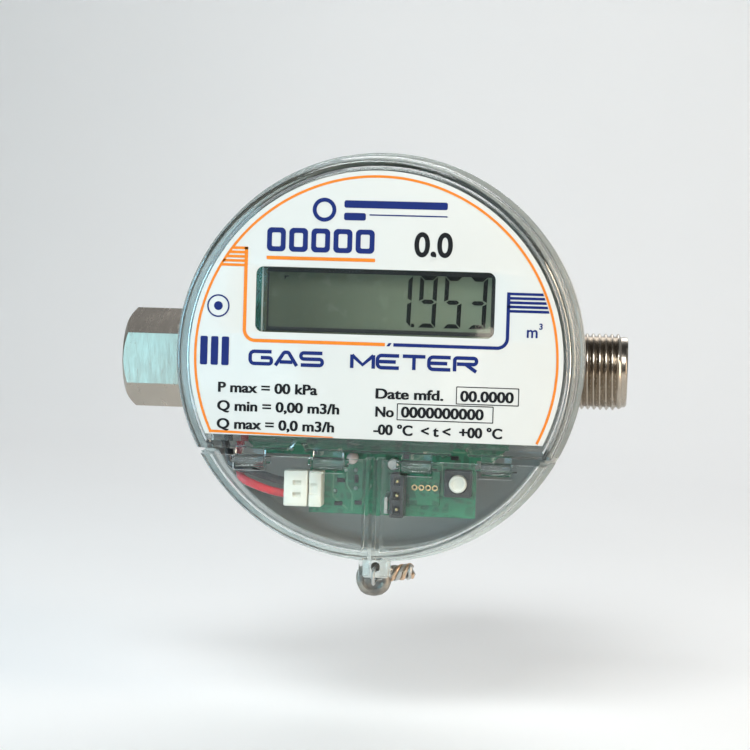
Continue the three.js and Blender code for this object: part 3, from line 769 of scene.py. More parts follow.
class METER_OT_housing(bpy.types.Operator):
    """Adds the grey base housing with its seal lug, seat and shallow grooves"""
    bl_idname = "meter.housing"
    bl_label = "Base housing"

    def execute(self, context):
        wall, floor = 2.2, 2.0
        front = JOINT_Y + 0.3
        profile = filleted([
            (0, BACK_Y), (31.5, BACK_Y), (32.2, BACK_Y - 0.5), (36, BACK_Y - 0.5), (36.7, BACK_Y),
            (FLANGE_R, BACK_Y, 1.6), (FLANGE_R, -14.4, 0.2), (FLANGE_R - 0.5, -14.8, 0.2),
            (FLANGE_R - 0.5, -15.6, 0.2), (FLANGE_R, -16, 0.2), (FLANGE_R, front, 0.35),
            (FLANGE_R - wall, front, 0.3), (FLANGE_R - wall, BACK_Y - floor, 1.5), (0, BACK_Y - floor),
        ], closed=False, steps=4)
        shell = turned("housing_shell", profile, "Y", (0, 0, AXIS_Z), sizes().turn_steps, closed=False)
        hole_z = AXIS_Z - 43.7
        tab = block("seal_lug", (-2.6, front, hole_z - 2.3), (2.6, front + 2, AXIS_Z - FLANGE_R + 1), 0.35)
        cut(tab, pin("hole", 1, front - 1, front + 3, "Y", (0, hole_z)))
        fuse(shell, tab)
        ribs = []
        for x, z in ((-24, 23.4), (24, 23.4), (9, -27)):
            ribs.append(pin("post", 2.2, BOARD_HIGH.y + 0.3, BACK_Y - floor + 0.5, "Y", (x, z + AXIS_Z)))
        fuse(shell, *ribs)
        done(shell, METER, "housing", ["base_housing"])
        return {"FINISHED"}


# ---------------------------------------------------------------- label and its print


LABEL_LOW, LABEL_HIGH = mm_box("label")
LABEL_R = (LABEL_HIGH.x - LABEL_LOW.x) / 2
WINDOW = (-24.5, 4.8, 23.8, 18.0)


def rounded_box(x0, z0, x1, z1, r, steps=6):
    """Outline of a box with round corners, relative to the housing axis."""
    return [(x, z + AXIS_Z) for x, z in filleted(
        [(x0, z0, r), (x1, z0, r), (x1, z1, r), (x0, z1, r)], steps=steps)]


def chord(radius, low, steps=96):
    """Outline of a round sheet cut straight across at low, relative to the housing axis."""
    turn = math.degrees(math.asin(low / radius))
    return [(x, z + AXIS_Z) for x, z in arc((0, 0), radius, turn, 180 - turn, steps)]


class METER_OT_face_label(bpy.types.Operator):
    """Adds the face label with its display window"""
    bl_idname = "meter.face_label"
    bl_label = "Face label"

    def execute(self, context):
        low = LABEL_LOW.z - AXIS_Z
        sheet = flat_shape("face_label", [chord(LABEL_R, low), rounded_box(*WINDOW, 1.5)],
                           LABEL_LOW.y, LABEL_HIGH.y, edge=0.05)
        done(sheet, METER, "film", ["label"])
        return {"FINISHED"}


def stroke(points, width):
    """Outline of a line of even width along points, relative to the housing axis."""
    left, right = [], []
    for i, here in enumerate(points):
        here = Vector(here)
        before = Vector(points[max(i - 1, 0)])
        after = Vector(points[min(i + 1, len(points) - 1)])
        along = (after - before).normalized()
        side = Vector((-along.y, along.x)) * width / 2
        left.append(here + side)
        right.append(here - side)
    return [(p.x, p.y + AXIS_Z) for p in left + right[::-1]]


def inside_ring(z):
    return math.sqrt(max(sizes().ring_radius ** 2 - z * z, 0))


def printed(name, outlines, look):
    """Ink on the label: each outline is its own thin sheet, joined into one piece."""
    sheets = []
    for i, outline in enumerate(outlines):
        front = LABEL_LOW.y - 0.05 - 0.004 * (i % 5)
        rings = [outline] if isinstance(outline[0][0], (int, float)) else outline
        sheets.append(flat_shape(name, rings, front, front + 0.04))
    return done(group(name, sheets), METER, look)


def orange_lines():
    ring = sizes().ring_radius
    low = -15.9
    turn = math.degrees(math.asin(low / ring))
    outlines = [stroke(arc((0, 0), ring, turn, 180 - turn, 120), 0.5)]
    outlines.append([(x, z + AXIS_Z) for x, z in
                     [(-33.2, low + 0.55), (-8, low - 0.05), (-8, low - 0.25), (-33.4, low + 0.02)]])
    for i in range(5):
        z = 21.6 - i * 0.86
        outlines.append([(-inside_ring(z + 0.25) - 0.1, z + 0.27 + AXIS_Z), (-26.3, z + 0.27 + AXIS_Z),
                         (-26.3, z - 0.27 + AXIS_Z), (-inside_ring(z - 0.25) - 0.1, z - 0.27 + AXIS_Z)])
    path = filleted([(-26.65, 21.8), (-26.65, 3.0, 2.2), (2.0, 3.0)], closed=False, steps=8)
    outlines.append(stroke(path, 0.68))
    outlines.append(rounded_box(-22.5, 19.45, -0.5, 20.15, 0.1))
    return outlines


def blue_lines():
    path = filleted([(3.7, 3.0), (26.5, 3.0, 2.0), (26.5, 14.2)], closed=False, steps=8)
    outlines = [stroke(path, 0.68)]
    outlines.append([(x, z + AXIS_Z) for x, z in [(2.3, 2.66), (2.9, 2.66), (3.35, 3.34), (2.75, 3.34)]])
    for i in range(5):
        z = 13.9 - i * 0.86
        outlines.append([(26.2, z + 0.27 + AXIS_Z), (inside_ring(z + 0.25) - 0.45, z + 0.27 + AXIS_Z),
                         (inside_ring(z - 0.25) - 0.45, z - 0.27 + AXIS_Z), (26.2, z - 0.27 + AXIS_Z)])
    return outlines


def title_strokes(words, left=-25.3, base=-1.95, wide=4.35, high=2.75, pitch=5.18, pen=0.72):
    """Wide capitals drawn with a round-cornered pen; a letter is one or two strokes."""
    w, h, m = wide, high, high / 2
    shapes = {
        "G": [[(w, h), (0, h, 0.8), (0, 0, 0.8), (w, 0, 0.5), (w, m, 0.5), (w * 0.5, m)]],
        "A": [[(0, -0.3), (w * 0.4, h, 0.45), (w * 0.6, h, 0.45), (w, -0.3)],
              [(w * 0.2, 0.55), (w * 0.8, 0.55)]],
        "S": [[(w, h), (0, h, 0.55), (0, m, 0.55), (w, m, 0.55), (w, 0, 0.55), (0, 0)]],
        "M": [[(0, -0.3), (0, h)], [(0, h - 0.1), (w / 2, 0.5), (w, h - 0.1)], [(w, h), (w, -0.3)]],
        "E": [[(w, h), (0, h, 0.8), (0, 0, 0.8), (w, 0)], [(0, m), (w * 0.85, m)]],
        "T": [[(-0.1, h), (w + 0.1, h)], [(w / 2, h), (w / 2, -0.3)]],
        "R": [[(0, -0.3), (0, h, 0.5), (w, h, 0.55), (w, m, 0.55), (0.45, m)], [(w * 0.5, m), (w, -0.3)]],
    }
    outlines = []
    for i, letter in enumerate(words):
        for pen_path in shapes.get(letter, []):
            path = filleted([(left + i * pitch + p[0], base + 0.3 + p[1] * (high - 0.3) / high, *p[2:])
                             for p in pen_path], closed=False, steps=4)
            outlines.append(stroke(path, pen))
    return outlines


def plain_marks():
    """Blank marks where a maker would put its own: bars, a ring and a plate, which spell nothing."""
    outlines = [[rounded_box(x, 21.1, x + 3.8, 25.9, 0.9), rounded_box(x + 1.0, 22.1, x + 2.8, 24.9, 0.3)]
                for x in (-22.5 + i * 4.5 for i in range(5))]
    outlines += [rounded_box(-7.0, 30.2, 13.8, 31.7, 0.4), rounded_box(-7.0, 27.7, -2.6, 29.2, 0.4),
                 rounded_box(-1.9, 28.75, 13.8, 29.0, 0.1)]
    ring = [[(x, z + AXIS_Z) for x, z in arc((-11, 29.7), r, 0, 354, 40)] for r in (2.4, 1.6)]
    badge = [[(x, z + AXIS_Z) for x, z in arc((-32.1, 9.8), r, 0, 354, 40)] for r in (2.3, 2.0)]
    dot = [(x, z + AXIS_Z) for x, z in arc((-32.1, 9.8), 0.9, 0, 345, 24)]
    bars = [rounded_box(-35.6 + i * 2.2, -2.2, -35.6 + i * 2.2 + 1.5, 3.6, 0.3) for i in range(3)]
    return outlines + bars + [ring, badge, dot]


def small_print():
    """Plain figures, signs and units, and the frames round two of the numbers."""
    words = [("P max = 00 kPa", (-31.9, -7.6), 2.1, 1.12), ("Q min = 0,00 m3/h", (-31.9, -11.35), 2.1, 1.12),
             ("Q max = 0,0 m3/h", (-31.9, -15.0), 2.1, 1.12),
             ("Date mfd.", (0.2, -7.85), 2.1, 1.2), ("00.0000", (17.4, -7.85), 2.2, 1.1),
             ("0000000000", (5.6, -11.45), 2.2, 1.1), ("No", (0.3, -11.5), 2.1, 1.0),
             ("-00 \u00b0C  < t <  +00 \u00b0C", (0.1, -15.1), 2.1, 1.02)]
    outlines = []
    for low, high in (((16.6, -8.5), (29.2, -4.9)), ((4.8, -12.1), (24.2, -8.7))):
        outer = rounded_box(*low, *high, 0.15, 2)
        inner = rounded_box(low[0] + 0.18, low[1] + 0.18, high[0] - 0.18, high[1] - 0.18, 0.1, 2)
        outlines.append([outer, inner])
    return outlines, words


class METER_OT_label_print(bpy.types.Operator):
    """Prints the ring, rules, stripes, title and small print on the label"""
    bl_idname = "meter.label_print"
    bl_label = "Label print"

    def execute(self, context):
        front = LABEL_LOW.y - 0.03
        printed("print_orange", orange_lines(), "orange")
        printed("print_blue", blue_lines() + plain_marks(), "blue")
        outlines, words = small_print()
        printed("print_black", outlines, "black_ink")
        lines = [lettering("figures", t, h, (x + 0.14 * k, z + AXIS_Z), front - 0.012 * k, 0.05, w)
                 for t, (x, z), h, w in words for k in (0, 1)]
        lines.append(lettering("figures", "0,0", 4.9, (7.3, 20.9 + AXIS_Z), front, 0.17, 0.95))
        done(group("print_figures", lines), METER, "black_ink")
        printed("print_title", title_strokes("GAS METER"), "blue")
        if sizes().show_unit:
            unit = [lettering("unit", "m", 2.4, (30.2, 5.3 + AXIS_Z), front, 0.06, 0.95),
                    lettering("unit", "3", 1.2, (32.7, 7.0 + AXIS_Z), front, 0.05)]
            done(group("print_unit", unit), METER, "blue")
        return {"FINISHED"}


# ---------------------------------------------------------------- display


SEGMENTS = {
    "0": "abcdef", "1": "bc", "2": "abged", "3": "abgcd", "4": "fgbc", "5": "afgcd", "6": "afgedc",
    "7": "abc", "8": "abcdefg", "9": "abfgcd",
}


def segment_outline(kind, x, z, wide, high, thick):
    """Outline of one lit segment of a digit whose lower left corner is at (x, z)."""
    lean, gap, t = 0.03, 0.14, thick
    half = high / 2
    level = {"a": high, "g": half, "d": 0}
    if kind in level:
        base = level[kind]
        if kind == "g":
            pts = [(gap + t * 0.4, base), (gap + t, base + t / 2), (wide - gap - t, base + t / 2),
                   (wide - gap - t * 0.4, base), (wide - gap - t, base - t / 2), (gap + t, base - t / 2)]
        else:
            inward = -t if kind == "a" else t
            pts = [(gap, base), (wide - gap, base), (wide - gap - t, base + inward), (gap + t, base + inward)]
    else:
        low = 0 if kind in "ec" else half
        edge_low, edge_high = (gap, half - gap) if low == 0 else (half + gap, high - gap)
        outer, inner = (0, t) if kind in "ef" else (wide, wide - t)
        cut_low = t if low == 0 else t / 2
        cut_high = t / 2 if low == 0 else t
        pts = [(outer, edge_low), (outer, edge_high),
               (inner, edge_high - cut_high), (inner, edge_low + cut_low)]
    return [(x + a + b * lean, z + b) for a, b in pts]


def reading_outlines(words, right, low, wide=3.55, high=10.4, thick=0.85, pitch=5.05):
    outlines = []
    x = right - wide
    for mark in reversed(words):
        if mark == ".":
            dot = x + pitch - 1.35
            outlines.append([(dot, low), (dot + 0.7, low), (dot + 0.7, low + 0.7), (dot, low + 0.7)])
            continue
        for kind in SEGMENTS.get(mark, ""):
            outlines.append(segment_outline(kind, x, low, wide, high, thick))
        x -= pitch
    return outlines


class METER_OT_display(bpy.types.Operator):
    """Adds the display: glass, a black frame of painted shade round its edges, lit segments and its holder's
    edge
    """
    bl_idname = "meter.display"
    bl_label = "Display"

    def execute(self, context):
        low, high = mm_box("display_glass")
        body = block("display_panel", low, high, 0.12)
        with shaping(body, "NONE"):
            pick_faces(body, lambda c, n: n.y < -0.9)
            bpy.ops.mesh.inset(thickness=1.1 * MM, depth=0)
            bpy.ops.mesh.inset(thickness=0.12 * MM, depth=-0.1 * MM)
        done(body, METER, "screen", ["display_glass"])
        rail = block("display_edge", (low.x - 0.02, low.y - 0.1, low.z), (low.x + 0.6, high.y, high.z), 0.1)
        done(rail, METER, "pane_edge")
        front = low.y + 0.02
        # painted shade: a thin black frame sheet in front of the display, widest on the right and along the
        # bottom, stands for the shade that the label window casts at its edges
        shade_frame_outline = [(low.x + 1.0, low.z + 2.2), (high.x - 0.3, low.z + 2.2), (high.x - 0.3, high.z - 2.0),
                      (low.x + 1.0, high.z - 2.0)]
        inner = [(low.x + 1.5, low.z + 3.0), (high.x - 2.0, low.z + 3.0), (high.x - 2.0, high.z - 2.9),
                 (low.x + 1.5, high.z - 2.9)]
        rim = flat_shape("display_border_and_painted_shade", [shade_frame_outline, inner], front - 0.06, front)
        done(rim, METER, "black")
        right, base = high.x - 3.05, AXIS_Z + 6.6
        outlines = reading_outlines(sizes().reading, right, base)
        corner_x, corner_z = low.x + 4.6, high.z - 3.6
        outlines.append([(corner_x, corner_z), (corner_x + 0.9, corner_z), (corner_x + 0.9, corner_z - 0.25),
                         (corner_x + 0.25, corner_z - 0.25), (corner_x + 0.25, corner_z - 0.7),
                         (corner_x, corner_z - 0.7)])
        sheets = [flat_shape("segment", [o], front - 0.09, front - 0.04) for o in outlines]
        done(group("display_digits", sheets), METER, "segment")
        return {"FINISHED"}


# ---------------------------------------------------------------- board and what stands on it


def joint_bead(x, z, radius=0.45):
    """A small domed solder joint on the front of the board."""
    profile = [(0, BOARD_Y - 0.42), (radius * 0.45, BOARD_Y - 0.36), (radius * 0.8, BOARD_Y - 0.15),
               (radius, BOARD_Y - 0.01), (0, BOARD_Y - 0.01)]
    return turned("bead", profile, "Y", (x, 0, z), 12, closed=False)


def chip_resistor(x, z, upright=False):
    long, wide, high = 1.6, 0.8, 0.5
    dx, dz = (wide / 2, long / 2) if upright else (long / 2, wide / 2)
    return block("chip", (x - dx, BOARD_Y - high - 0.02, z - dz), (x + dx, BOARD_Y - 0.02, z + dz), 0.06, 1)


def track(points, width=0.35):
    outline = [(x, z - AXIS_Z) for x, z in points]
    return flat_shape("track", [stroke(outline, width)], BOARD_Y - 0.06, BOARD_Y - 0.005)


class METER_OT_board_parts(bpy.types.Operator):
    """Adds tracks, solder joints, chips and small parts to the board"""
    bl_idname = "meter.board_parts"
    bl_label = "Board parts"

    def execute(self, context):
        z0 = AXIS_Z
        beads = [(-8.6 + i * 2.1, -23.4 + z0) for i in range(3)] + [(-8.6, -27.9 + z0), (-4.3, -27.2 + z0)]
        beads += [(x, -19.6 + z0) for x in (-20, -18, 11.2, 13.4, 22)]
        done(group("solder_joints", [joint_bead(x, z) for x, z in beads]), METER, "solder")
        spots = [(-7.4, -25.6, False), (-4.2, -25.2, True), (-7.8, -30.4, False), (-3.6, -30.1, False),
                 (9.2, -29.2, False), (16, -20.2, False), (-12.4, -19.8, False), (6.8, -19.7, True)]
        chips = [chip_resistor(x, z + z0, up) for x, z, up in spots]
        done(group("chip_resistors", chips), METER, "black")
        runs = [
            [(-11.5, -22), (-9, -24), (-9, -29), (-6, -31.5)], [(-10.5, -21.5), (-2.6, -21.5), (-2.6, -29)],
            [(-22, -18.6), (-14, -18.6), (-12, -20.3)], [(8, -21.6), (13.5, -21.6), (13.6, -28)],
            [(-6.2, -22.5), (-6.2, -26.5), (-5, -28.4), (-5, -31.8)], [(20, -19), (10, -19), (7.6, -21)],
        ]
        tracks = [track([(x, z + z0) for x, z in run]) for run in runs]
        done(group("board_tracks", tracks), METER, "track")
        low, high = mm_box("contact_board")
        small = block("contact_card", low, high, 0.12)
        cut(small, *[pin("hole", 0.36, low.y - 1, high.y + 1, "Y", (low.x + 1 + i * 1.4, high.z - 3.5))
                     for i in range(4)])
        done(small, METER, "board", ["contact_board"])
        pads = []
        for i in range(4):
            x, z = low.x + 1 + i * 1.4, high.z - 3.5
            pads.append(turned("pad", [(0.36, low.y - 0.05), (0.62, low.y - 0.05), (0.62, low.y + 0.02),
                                       (0.36, low.y + 0.02)], "Y", (x, 0, z), 20))
        done(group("gold_pads", pads), METER, "gold")
        return {"FINISHED"}


def pin_header():
    low, high = mm_box("terminal_header")
    body = block("header_body", low, high, 0.25)
    count = 3
    wells = []
    for i in range(count):
        z = high.z - 1.5 - i * 2.9
        near, far = (low.x + 0.7, low.y - 1, z - 0.9), (high.x - 0.7, low.y + 3, z + 0.9)
        wells.append(block("well", near, far, 0.1))
    cut(body, *wells)
    done(body, METER, "black", ["terminal_header"])
    blades = []
    for i in range(count):
        z, x = high.z - 1.5 - i * 2.9, (low.x + high.x) / 2
        blades.append(block("blade", (x - 0.3, low.y + 0.8, z - 0.3), (x + 0.3, low.y + 3.4, z + 0.3), 0.08))
    done(group("header_pins", blades), METER, "gold")


class METER_OT_terminals(bpy.types.Operator):
    """Adds the terminal header, contact tongue, push button, lamp and capacitor"""
    bl_idname = "meter.terminals"
    bl_label = "Terminals and button"

    def execute(self, context):
        pin_header()
        low, high = mm_box("contact_tongue")
        tongue = flat_shape("contact_blade", [filleted([
            (high.y, low.z, 0.2), (low.y, low.z + 0.6, 0.4),
            (low.y, high.z - 0.6, 0.4), (high.y, high.z, 0.2),
            (high.y, high.z - 0.9, 0.2), (low.y + 0.9, high.z - 1.3, 0.3), (low.y + 0.9, low.z + 1.3, 0.3),
            (high.y, low.z + 0.9, 0.2)])], low.x, high.x, "YZ", edge=0.05)
        done(tongue, METER, "steel", ["contact_tongue"])
        low, high = mm_box("button_base")
        seat = block("button_seat", low, high, 0.3)
        x, z = (low.x + high.x) / 2, (low.z + high.z) / 2
        cut(seat, pin("well", 2.1, low.y - 1, high.y - 1, "Y", (x, z)))
        with shaping(seat, "NONE"):
            pick_faces(seat, lambda c, n: n.y < -0.9 and c.y < low.y + 0.1)
            bpy.ops.mesh.inset(thickness=0.18 * MM, depth=-0.08 * MM)
        done(seat, METER, "black", ["button_base"])
        low, high = mm_box("service_button")
        r = (high.x - low.x) / 2
        cap = filleted([(0, low.y + 0.25), (r * 0.55, low.y + 0.2, 0.3), (r * 0.72, low.y, 0.2),
                        (r, low.y, 0.3), (r, high.y, 0.1), (0, high.y)], closed=False)
        knob = turned("button_cap", cap, "Y", (x, 0, z), 40, closed=False)
        done(knob, "service_button", "ivory", ["service_button"])
        low, high = mm_box("status_lamp")
        r, x, z = (high.x - low.x) / 2, (low.x + high.x) / 2, (low.z + high.z) / 2
        dome = [(r * math.sin(a), low.y + r - r * math.cos(a)) for a in
                [math.pi / 2 * i / 8 for i in range(9)]]
        lens = dome + filleted([(r, high.y - 0.9), (r * 1.0, high.y - 0.8), (r, high.y, 0.1), (0, high.y)],
                               closed=False)
        done(turned("lamp_lens", lens, "Y", (x, 0, z), 32, closed=False), METER, "lamp",
             ["status_lamp"])
        low, high = mm_box("smoothing_capacitor")
        r, x, z = (high.x - low.x) / 2, (low.x + high.x) / 2, (low.z + high.z) / 2
        can = filleted([(0, low.y + 0.1), (r * 0.7, low.y + 0.1), (r, low.y, 0.25), (r, high.y - 0.9, 0.1),
                        (r * 0.86, high.y - 0.7, 0.1), (r, high.y - 0.5, 0.1), (r, high.y), (0, high.y)],
                       closed=False, steps=3)
        done(turned("capacitor_can", can, "Y", (x, 0, z), 32, closed=False), METER, "steel",
             ["smoothing_capacitor"])
        return {"FINISHED"}


LEADS = {
    "battery_lead_black": ("black_lead", "lead_black", [
        (-25.3, -19.55, -4), (-26.6, -19.55, -4), (-29.6, -21.6, -8), (-31.6, -24.8, -14.6),
        (-31.2, -28.6, -20.5), (-29.6, -31.6, -23.1), (-26.2, -32.8, -23.9), (-22.5, -32.4, -25.1),
        (-19.4, -31.7, -25.95), (-17.3, -31.7, -25.95)]),
    "battery_lead_red": ("red_lead", "lead_red", [
        (-25.3, -19.55, -10), (-26.6, -19.55, -10), (-28.2, -21.6, -14), (-28.8, -25.4, -20),
        (-28.6, -29.2, -24.6), (-27.4, -32.2, -25.8), (-25.2, -33.6, -26.6), (-22.2, -33.2, -27.7),
        (-19.4, -31.7, -28.45), (-17.3, -31.7, -28.45)]),
}


class METER_OT_battery_lead(bpy.types.Operator):
    """Adds the two leads, their plug and the socket on the board"""
    bl_idname = "meter.battery_lead"
    bl_label = "Battery lead"

    def execute(self, context):
        for node, (look, slot, route) in LEADS.items():
            points = [(x, y, z + AXIS_Z) for x, y, z in route]
            piece = smooth_cord(node + "_wire", points, sizes().wire_radius)
            done(piece, METER, look, [node], smooth=60)
        low, high = mm_box("battery_plug")
        plug = block("plug_body", low, high, 0.3)
        y, middle = (low.y + high.y) / 2, (low.z + high.z) / 2
        holes = [pin("entry", 1.12, low.x - 1, low.x + 1.6, "X", (y, middle + s * 1.25)) for s in (1, -1)]
        slots = [block("slot", (low.x + 1.9, low.y - 1, middle + s * 1.25 - 0.5),
                       (low.x + 3.6, low.y + 0.7, middle + s * 1.25 + 0.5), 0.1) for s in (1, -1)]
        cut(plug, *holes, *slots)
        done(plug, METER, "ivory", ["battery_plug"])
        low, high = mm_box("battery_socket")
        socket = block("socket_body", low, high, 0.25)
        near, far = (low.x - 1, low.y - 1, middle - 1.2), (high.x - 0.8, low.y + 0.6, middle + 1.2)
        cut(socket, block("key", near, far, 0.1))
        done(socket, METER, "ivory", ["battery_socket"])
        return {"FINISHED"}


def smooth_cord(name, points, radius):
    """A cord that passes through its points, as the frame's own cord does."""
    dense = []
    rows = [Vector(p) for p in points]
    rows = [rows[0] * 2 - rows[1]] + rows + [rows[-1] * 2 - rows[-2]]
    for i in range(1, len(rows) - 2):
        a, b, c, d = rows[i - 1:i + 3]
        for k in range(6):
            t = k / 6
            dense.append(0.5 * (2 * b + (c - a) * t + (2 * a - 5 * b + 4 * c - d) * t * t
                                + (3 * b - a - 3 * c + d) * t ** 3))
    dense.append(rows[-2])
    return tube(name, dense, radius, sides=16, smooth=1)


# ---------------------------------------------------------------- metal body and fittings


def hexagon(across, turn=30):
    corner = across / math.sqrt(3)
    return [(corner * math.cos(math.radians(turn + 60 * i)), corner * math.sin(math.radians(turn + 60 * i)))
            for i in range(6)]


class METER_OT_inlet(bpy.types.Operator):
    """Adds the hexagon inlet fitting with its threaded socket"""
    bl_idname = "meter.inlet"
    bl_label = "Inlet fitting"

    def execute(self, context):
        low, high = mm_box("inlet_fitting")
        across, corner = high.y - low.y, (high.z - low.z) / 2
        end, root = low.x, -38.3
        nut = flat_shape("inlet_hex", [hexagon(across)], end, root, "YZ")
        trim = turned("trim", filleted([
            (0, end), (corner - 1.9, end, 0.6), (corner + 0.3, end + 1.5), (corner + 0.3, root - 0.9),
            (corner - 0.7, root, 0.2), (0, root)], closed=False), "X", steps=96, closed=False)
        cut_or_join(nut, trim, "INTERSECT")
        with shaping(nut, "NONE"):
            bpy.ops.mesh.select_mode(type="EDGE")
            mesh = bmesh.from_edit_mesh(nut.data)
            for edge in mesh.edges:
                a, b = (v.co / MM for v in edge.verts)
                away = min(math.hypot(v.y, v.z) for v in (a, b))
                edge.select_set(abs(a.x - b.x) > 8 and away > corner - 0.4)
            bmesh.update_edit_mesh(nut.data)
            bpy.ops.mesh.bevel(offset=0.35 * MM, segments=3, affect="EDGES")
        shank = turned("shank", filleted([(0, root - 1), (8, root - 1), (8, high.x, 0.6), (0, high.x)],
                                         closed=False), "X", steps=64, closed=False)
        fuse(nut, shank)
        pitch, bore = sizes().thread_pitch, 7.45
        rows = [(0, high.x + 1), (5.6, high.x + 1), (5.6, end + 14), (bore + 0.5, end + 14)]
        x = end + 13.2
        while x > end + 1.6:
            rows += [(bore + 0.75, x), (bore, x - pitch / 2)]
            x -= pitch
        rows += [(bore + 0.2, end + 1.0), (bore + 1.1, end - 0.1), (0, end - 0.1)]
        cut(nut, turned("bore", rows, "X", steps=64, closed=False))
        done(nut, METER, "nickel", ["inlet_fitting"])
        return {"FINISHED"}


def threaded_rod(radius, depth, pitch, low, high, core):
    """A helical thread from a ridge section swept round the X axis, over a plain core."""
    steps = 40
    turns = (high - low) / pitch
    rows = int(turns * steps)
    section = ((-0.5, 0), (-0.08, 1), (0.08, 1), (0.5, 0), (0, -0.3))
    verts, faces = [], []
    for i in range(rows + 1):
        a = 2 * math.pi * i / steps
        x = low + pitch * i / steps
        fade = min(1, i / steps, (rows - i) / steps)
        for shift, tall in section:
            r = radius - depth + depth * tall * (fade if tall > 0 else 1)
            verts.append(Vector((x + shift * pitch, r * math.cos(a), r * math.sin(a))) * MM)
    count = len(section)
    for i in range(rows):
        for k in range(count):
            a, b = i * count + k, i * count + (k + 1) % count
            faces.append((a, a + count, b + count, b))
    faces += [tuple(range(count)), tuple(range(rows * count, rows * count + count))]
    mesh = bpy.data.meshes.new("thread")
    mesh.from_pydata(verts, [], faces)
    piece = bpy.data.objects.new("thread", mesh)
    bpy.context.scene.collection.objects.link(piece)
    return group("thread", [core, welded(piece)])


class METER_OT_outlet(bpy.types.Operator):
    """Adds the threaded outlet fitting"""
    bl_idname = "meter.outlet"
    bl_label = "Outlet fitting"

    def execute(self, context):
        low, high = mm_box("outlet_fitting")
        r, depth, pitch = (high.z - low.z) / 2, 0.72, sizes().thread_pitch
        end, start, bore = high.x, 38.3, 5.6
        core = turned("core", filleted([
            (bore, low.x), (8, low.x, 0.6), (8, start), (r - depth, start), (r - depth, end - 0.35, 0.3),
            (r - depth - 0.5, end, 0.25), (bore + 0.5, end, 0.2), (bore, end - 0.5)]), "X", steps=64)
        piece = threaded_rod(r, depth, pitch, start + 0.75, end - 0.75, core)
        piece.name = "outlet_nipple"
        done(piece, METER, "nickel", ["outlet_fitting"], smooth=50)
        return {"FINISHED"}


class METER_OT_gas_body(bpy.types.Operator):
    """Adds the metal gas body with its bosses, the rear cover and its gasket"""
    bl_idname = "meter.gas_body"
    bl_label = "Gas body"

    def execute(self, context):
        low, high = mm_box("flow_body")
        radius, back, front = 30, high.y, low.y
        boss_r, boss_x = 12.5, high.x
        drum = turned("gas_body", filleted([
            (25, front + 4.7), (25, back, 0.3), (radius, back, 0.5), (radius, back - 2.4, 0.3),
            (radius - 0.6, back - 3, 0.3), (radius - 0.6, front + 6, 0.5), (radius, front + 5.2, 0.4),
            (radius, front, 1.0), (0, front), (0, front + 4.7)], closed=True), "Y", steps=128)
        boss = turned("boss", filleted([
            (0, -boss_x), (boss_r - 1.2, -boss_x, 0.3),
            (boss_r, -boss_x + 1.2, 0.5), (boss_r, boss_x - 1.2, 0.5),
            (boss_r - 1.2, boss_x, 0.3), (0, boss_x)], closed=False), "X", steps=96, closed=False)
        sliced(boss, (0, front, 0), (0, -1, 0))
        fuse(drum, boss)
        cut(drum, pin("hollow", 25, front + 4.7, back + 1, "Y", steps=96),
            pin("bore", 8.25, -boss_x - 1, boss_x + 1, "X", steps=64))
        done(drum, METER, "cast", ["flow_body"])
        low, high = mm_box("rear_cover")
        lid_front, lid_back = high.y - 3.6, high.y
        lid = turned("rear_lid", filleted([
            (0, lid_back - 0.5), (17, lid_back - 0.5, 0.4),
            (17.6, lid_back - 0.1, 0.2), (22.2, lid_back - 0.1, 0.2), (22.8, lid_back, 0.2),
            (30, lid_back, 0.9), (30, lid_front, 0.3), (24.7, lid_front), (24.7, low.y, 0.4),
            (21.7, low.y), (21.7, lid_front), (0, lid_front)], closed=False), "Y", steps=128, closed=False)
        holes = []
        for i in range(1, 5):
            a, b = mm_box(f"rear_screw_{i}")
            middle = ((a.x + b.x) / 2, (a.z + b.z) / 2)
            holes.append(pin("hole", 1.45, lid_front - 1, lid_back + 1, "Y", middle))
        cut(lid, *holes)
        done(lid, METER, "cast", ["rear_cover"])
        low, high = mm_box("rear_gasket")
        ring = turned("gasket_ring", filleted([(25, low.y), (high.x, low.y, 0.3), (high.x, high.y, 0.3),
                                               (25, high.y)]), "Y", steps=96)
        done(ring, METER, "rubber", ["rear_gasket"])
        return {"FINISHED"}


def screw(name, node, outward):
    """A pan-head screw on a node's axis: outward is -1 for a head towards the face and 1 for the back."""
    low, high = mm_box(node)
    x, z, r = (low.x + high.x) / 2, (low.z + high.z) / 2, (high.x - low.x) / 2
    tip, top = (high.y, low.y) if outward < 0 else (low.y, high.y)
    seat = top - outward * 1.8
    profile = filleted([(0, top), (r * 0.75, top - outward * 0.1, 0.8),
                        (r, top - outward * 1.0, 0.5), (r, seat, 0.1),
                        (1.15, seat), (1.15, tip + outward * 0.8, 0.2), (0.5, tip), (0, tip)],
                       closed=False, steps=4)
    piece = turned(name, profile, "Y", (x, 0, z), 32, closed=False)
    for wide, high_ in ((1.5, 0.36), (0.36, 1.5)):
        deep = sorted((top + outward, top - outward * 0.95))
        cut(piece, block("slot", (x - wide, deep[0], z - high_), (x + wide, deep[1], z + high_), 0.05, 1))
    return place(piece)


def like_screws(name, node, count, outward):
    """The first screw of a kind, and a copy of it in each other place."""
    first = screw(f"{name}_1", f"{node}_1", outward)
    home = mm_box(f"{node}_1")[0]
    screws = [first] + [copied(first, f"{name}_{i}", mm_box(f"{node}_{i}")[0] - home)
                        for i in range(2, count + 1)]
    for i, piece in enumerate(screws, 1):
        done(piece, METER, "steel", [f"{node}_{i}"])


class METER_OT_screws(bpy.types.Operator):
    """Adds the cross-slotted screws of the board and the rear cover"""
    bl_idname = "meter.screws"
    bl_label = "Screws"

    def execute(self, context):
        like_screws("rear_cover_screw", "rear_screw", 4, 1)
        like_screws("board_mount_screw", "board_screw", 2, -1)
        return {"FINISHED"}


# ---------------------------------------------------------------- wire seal


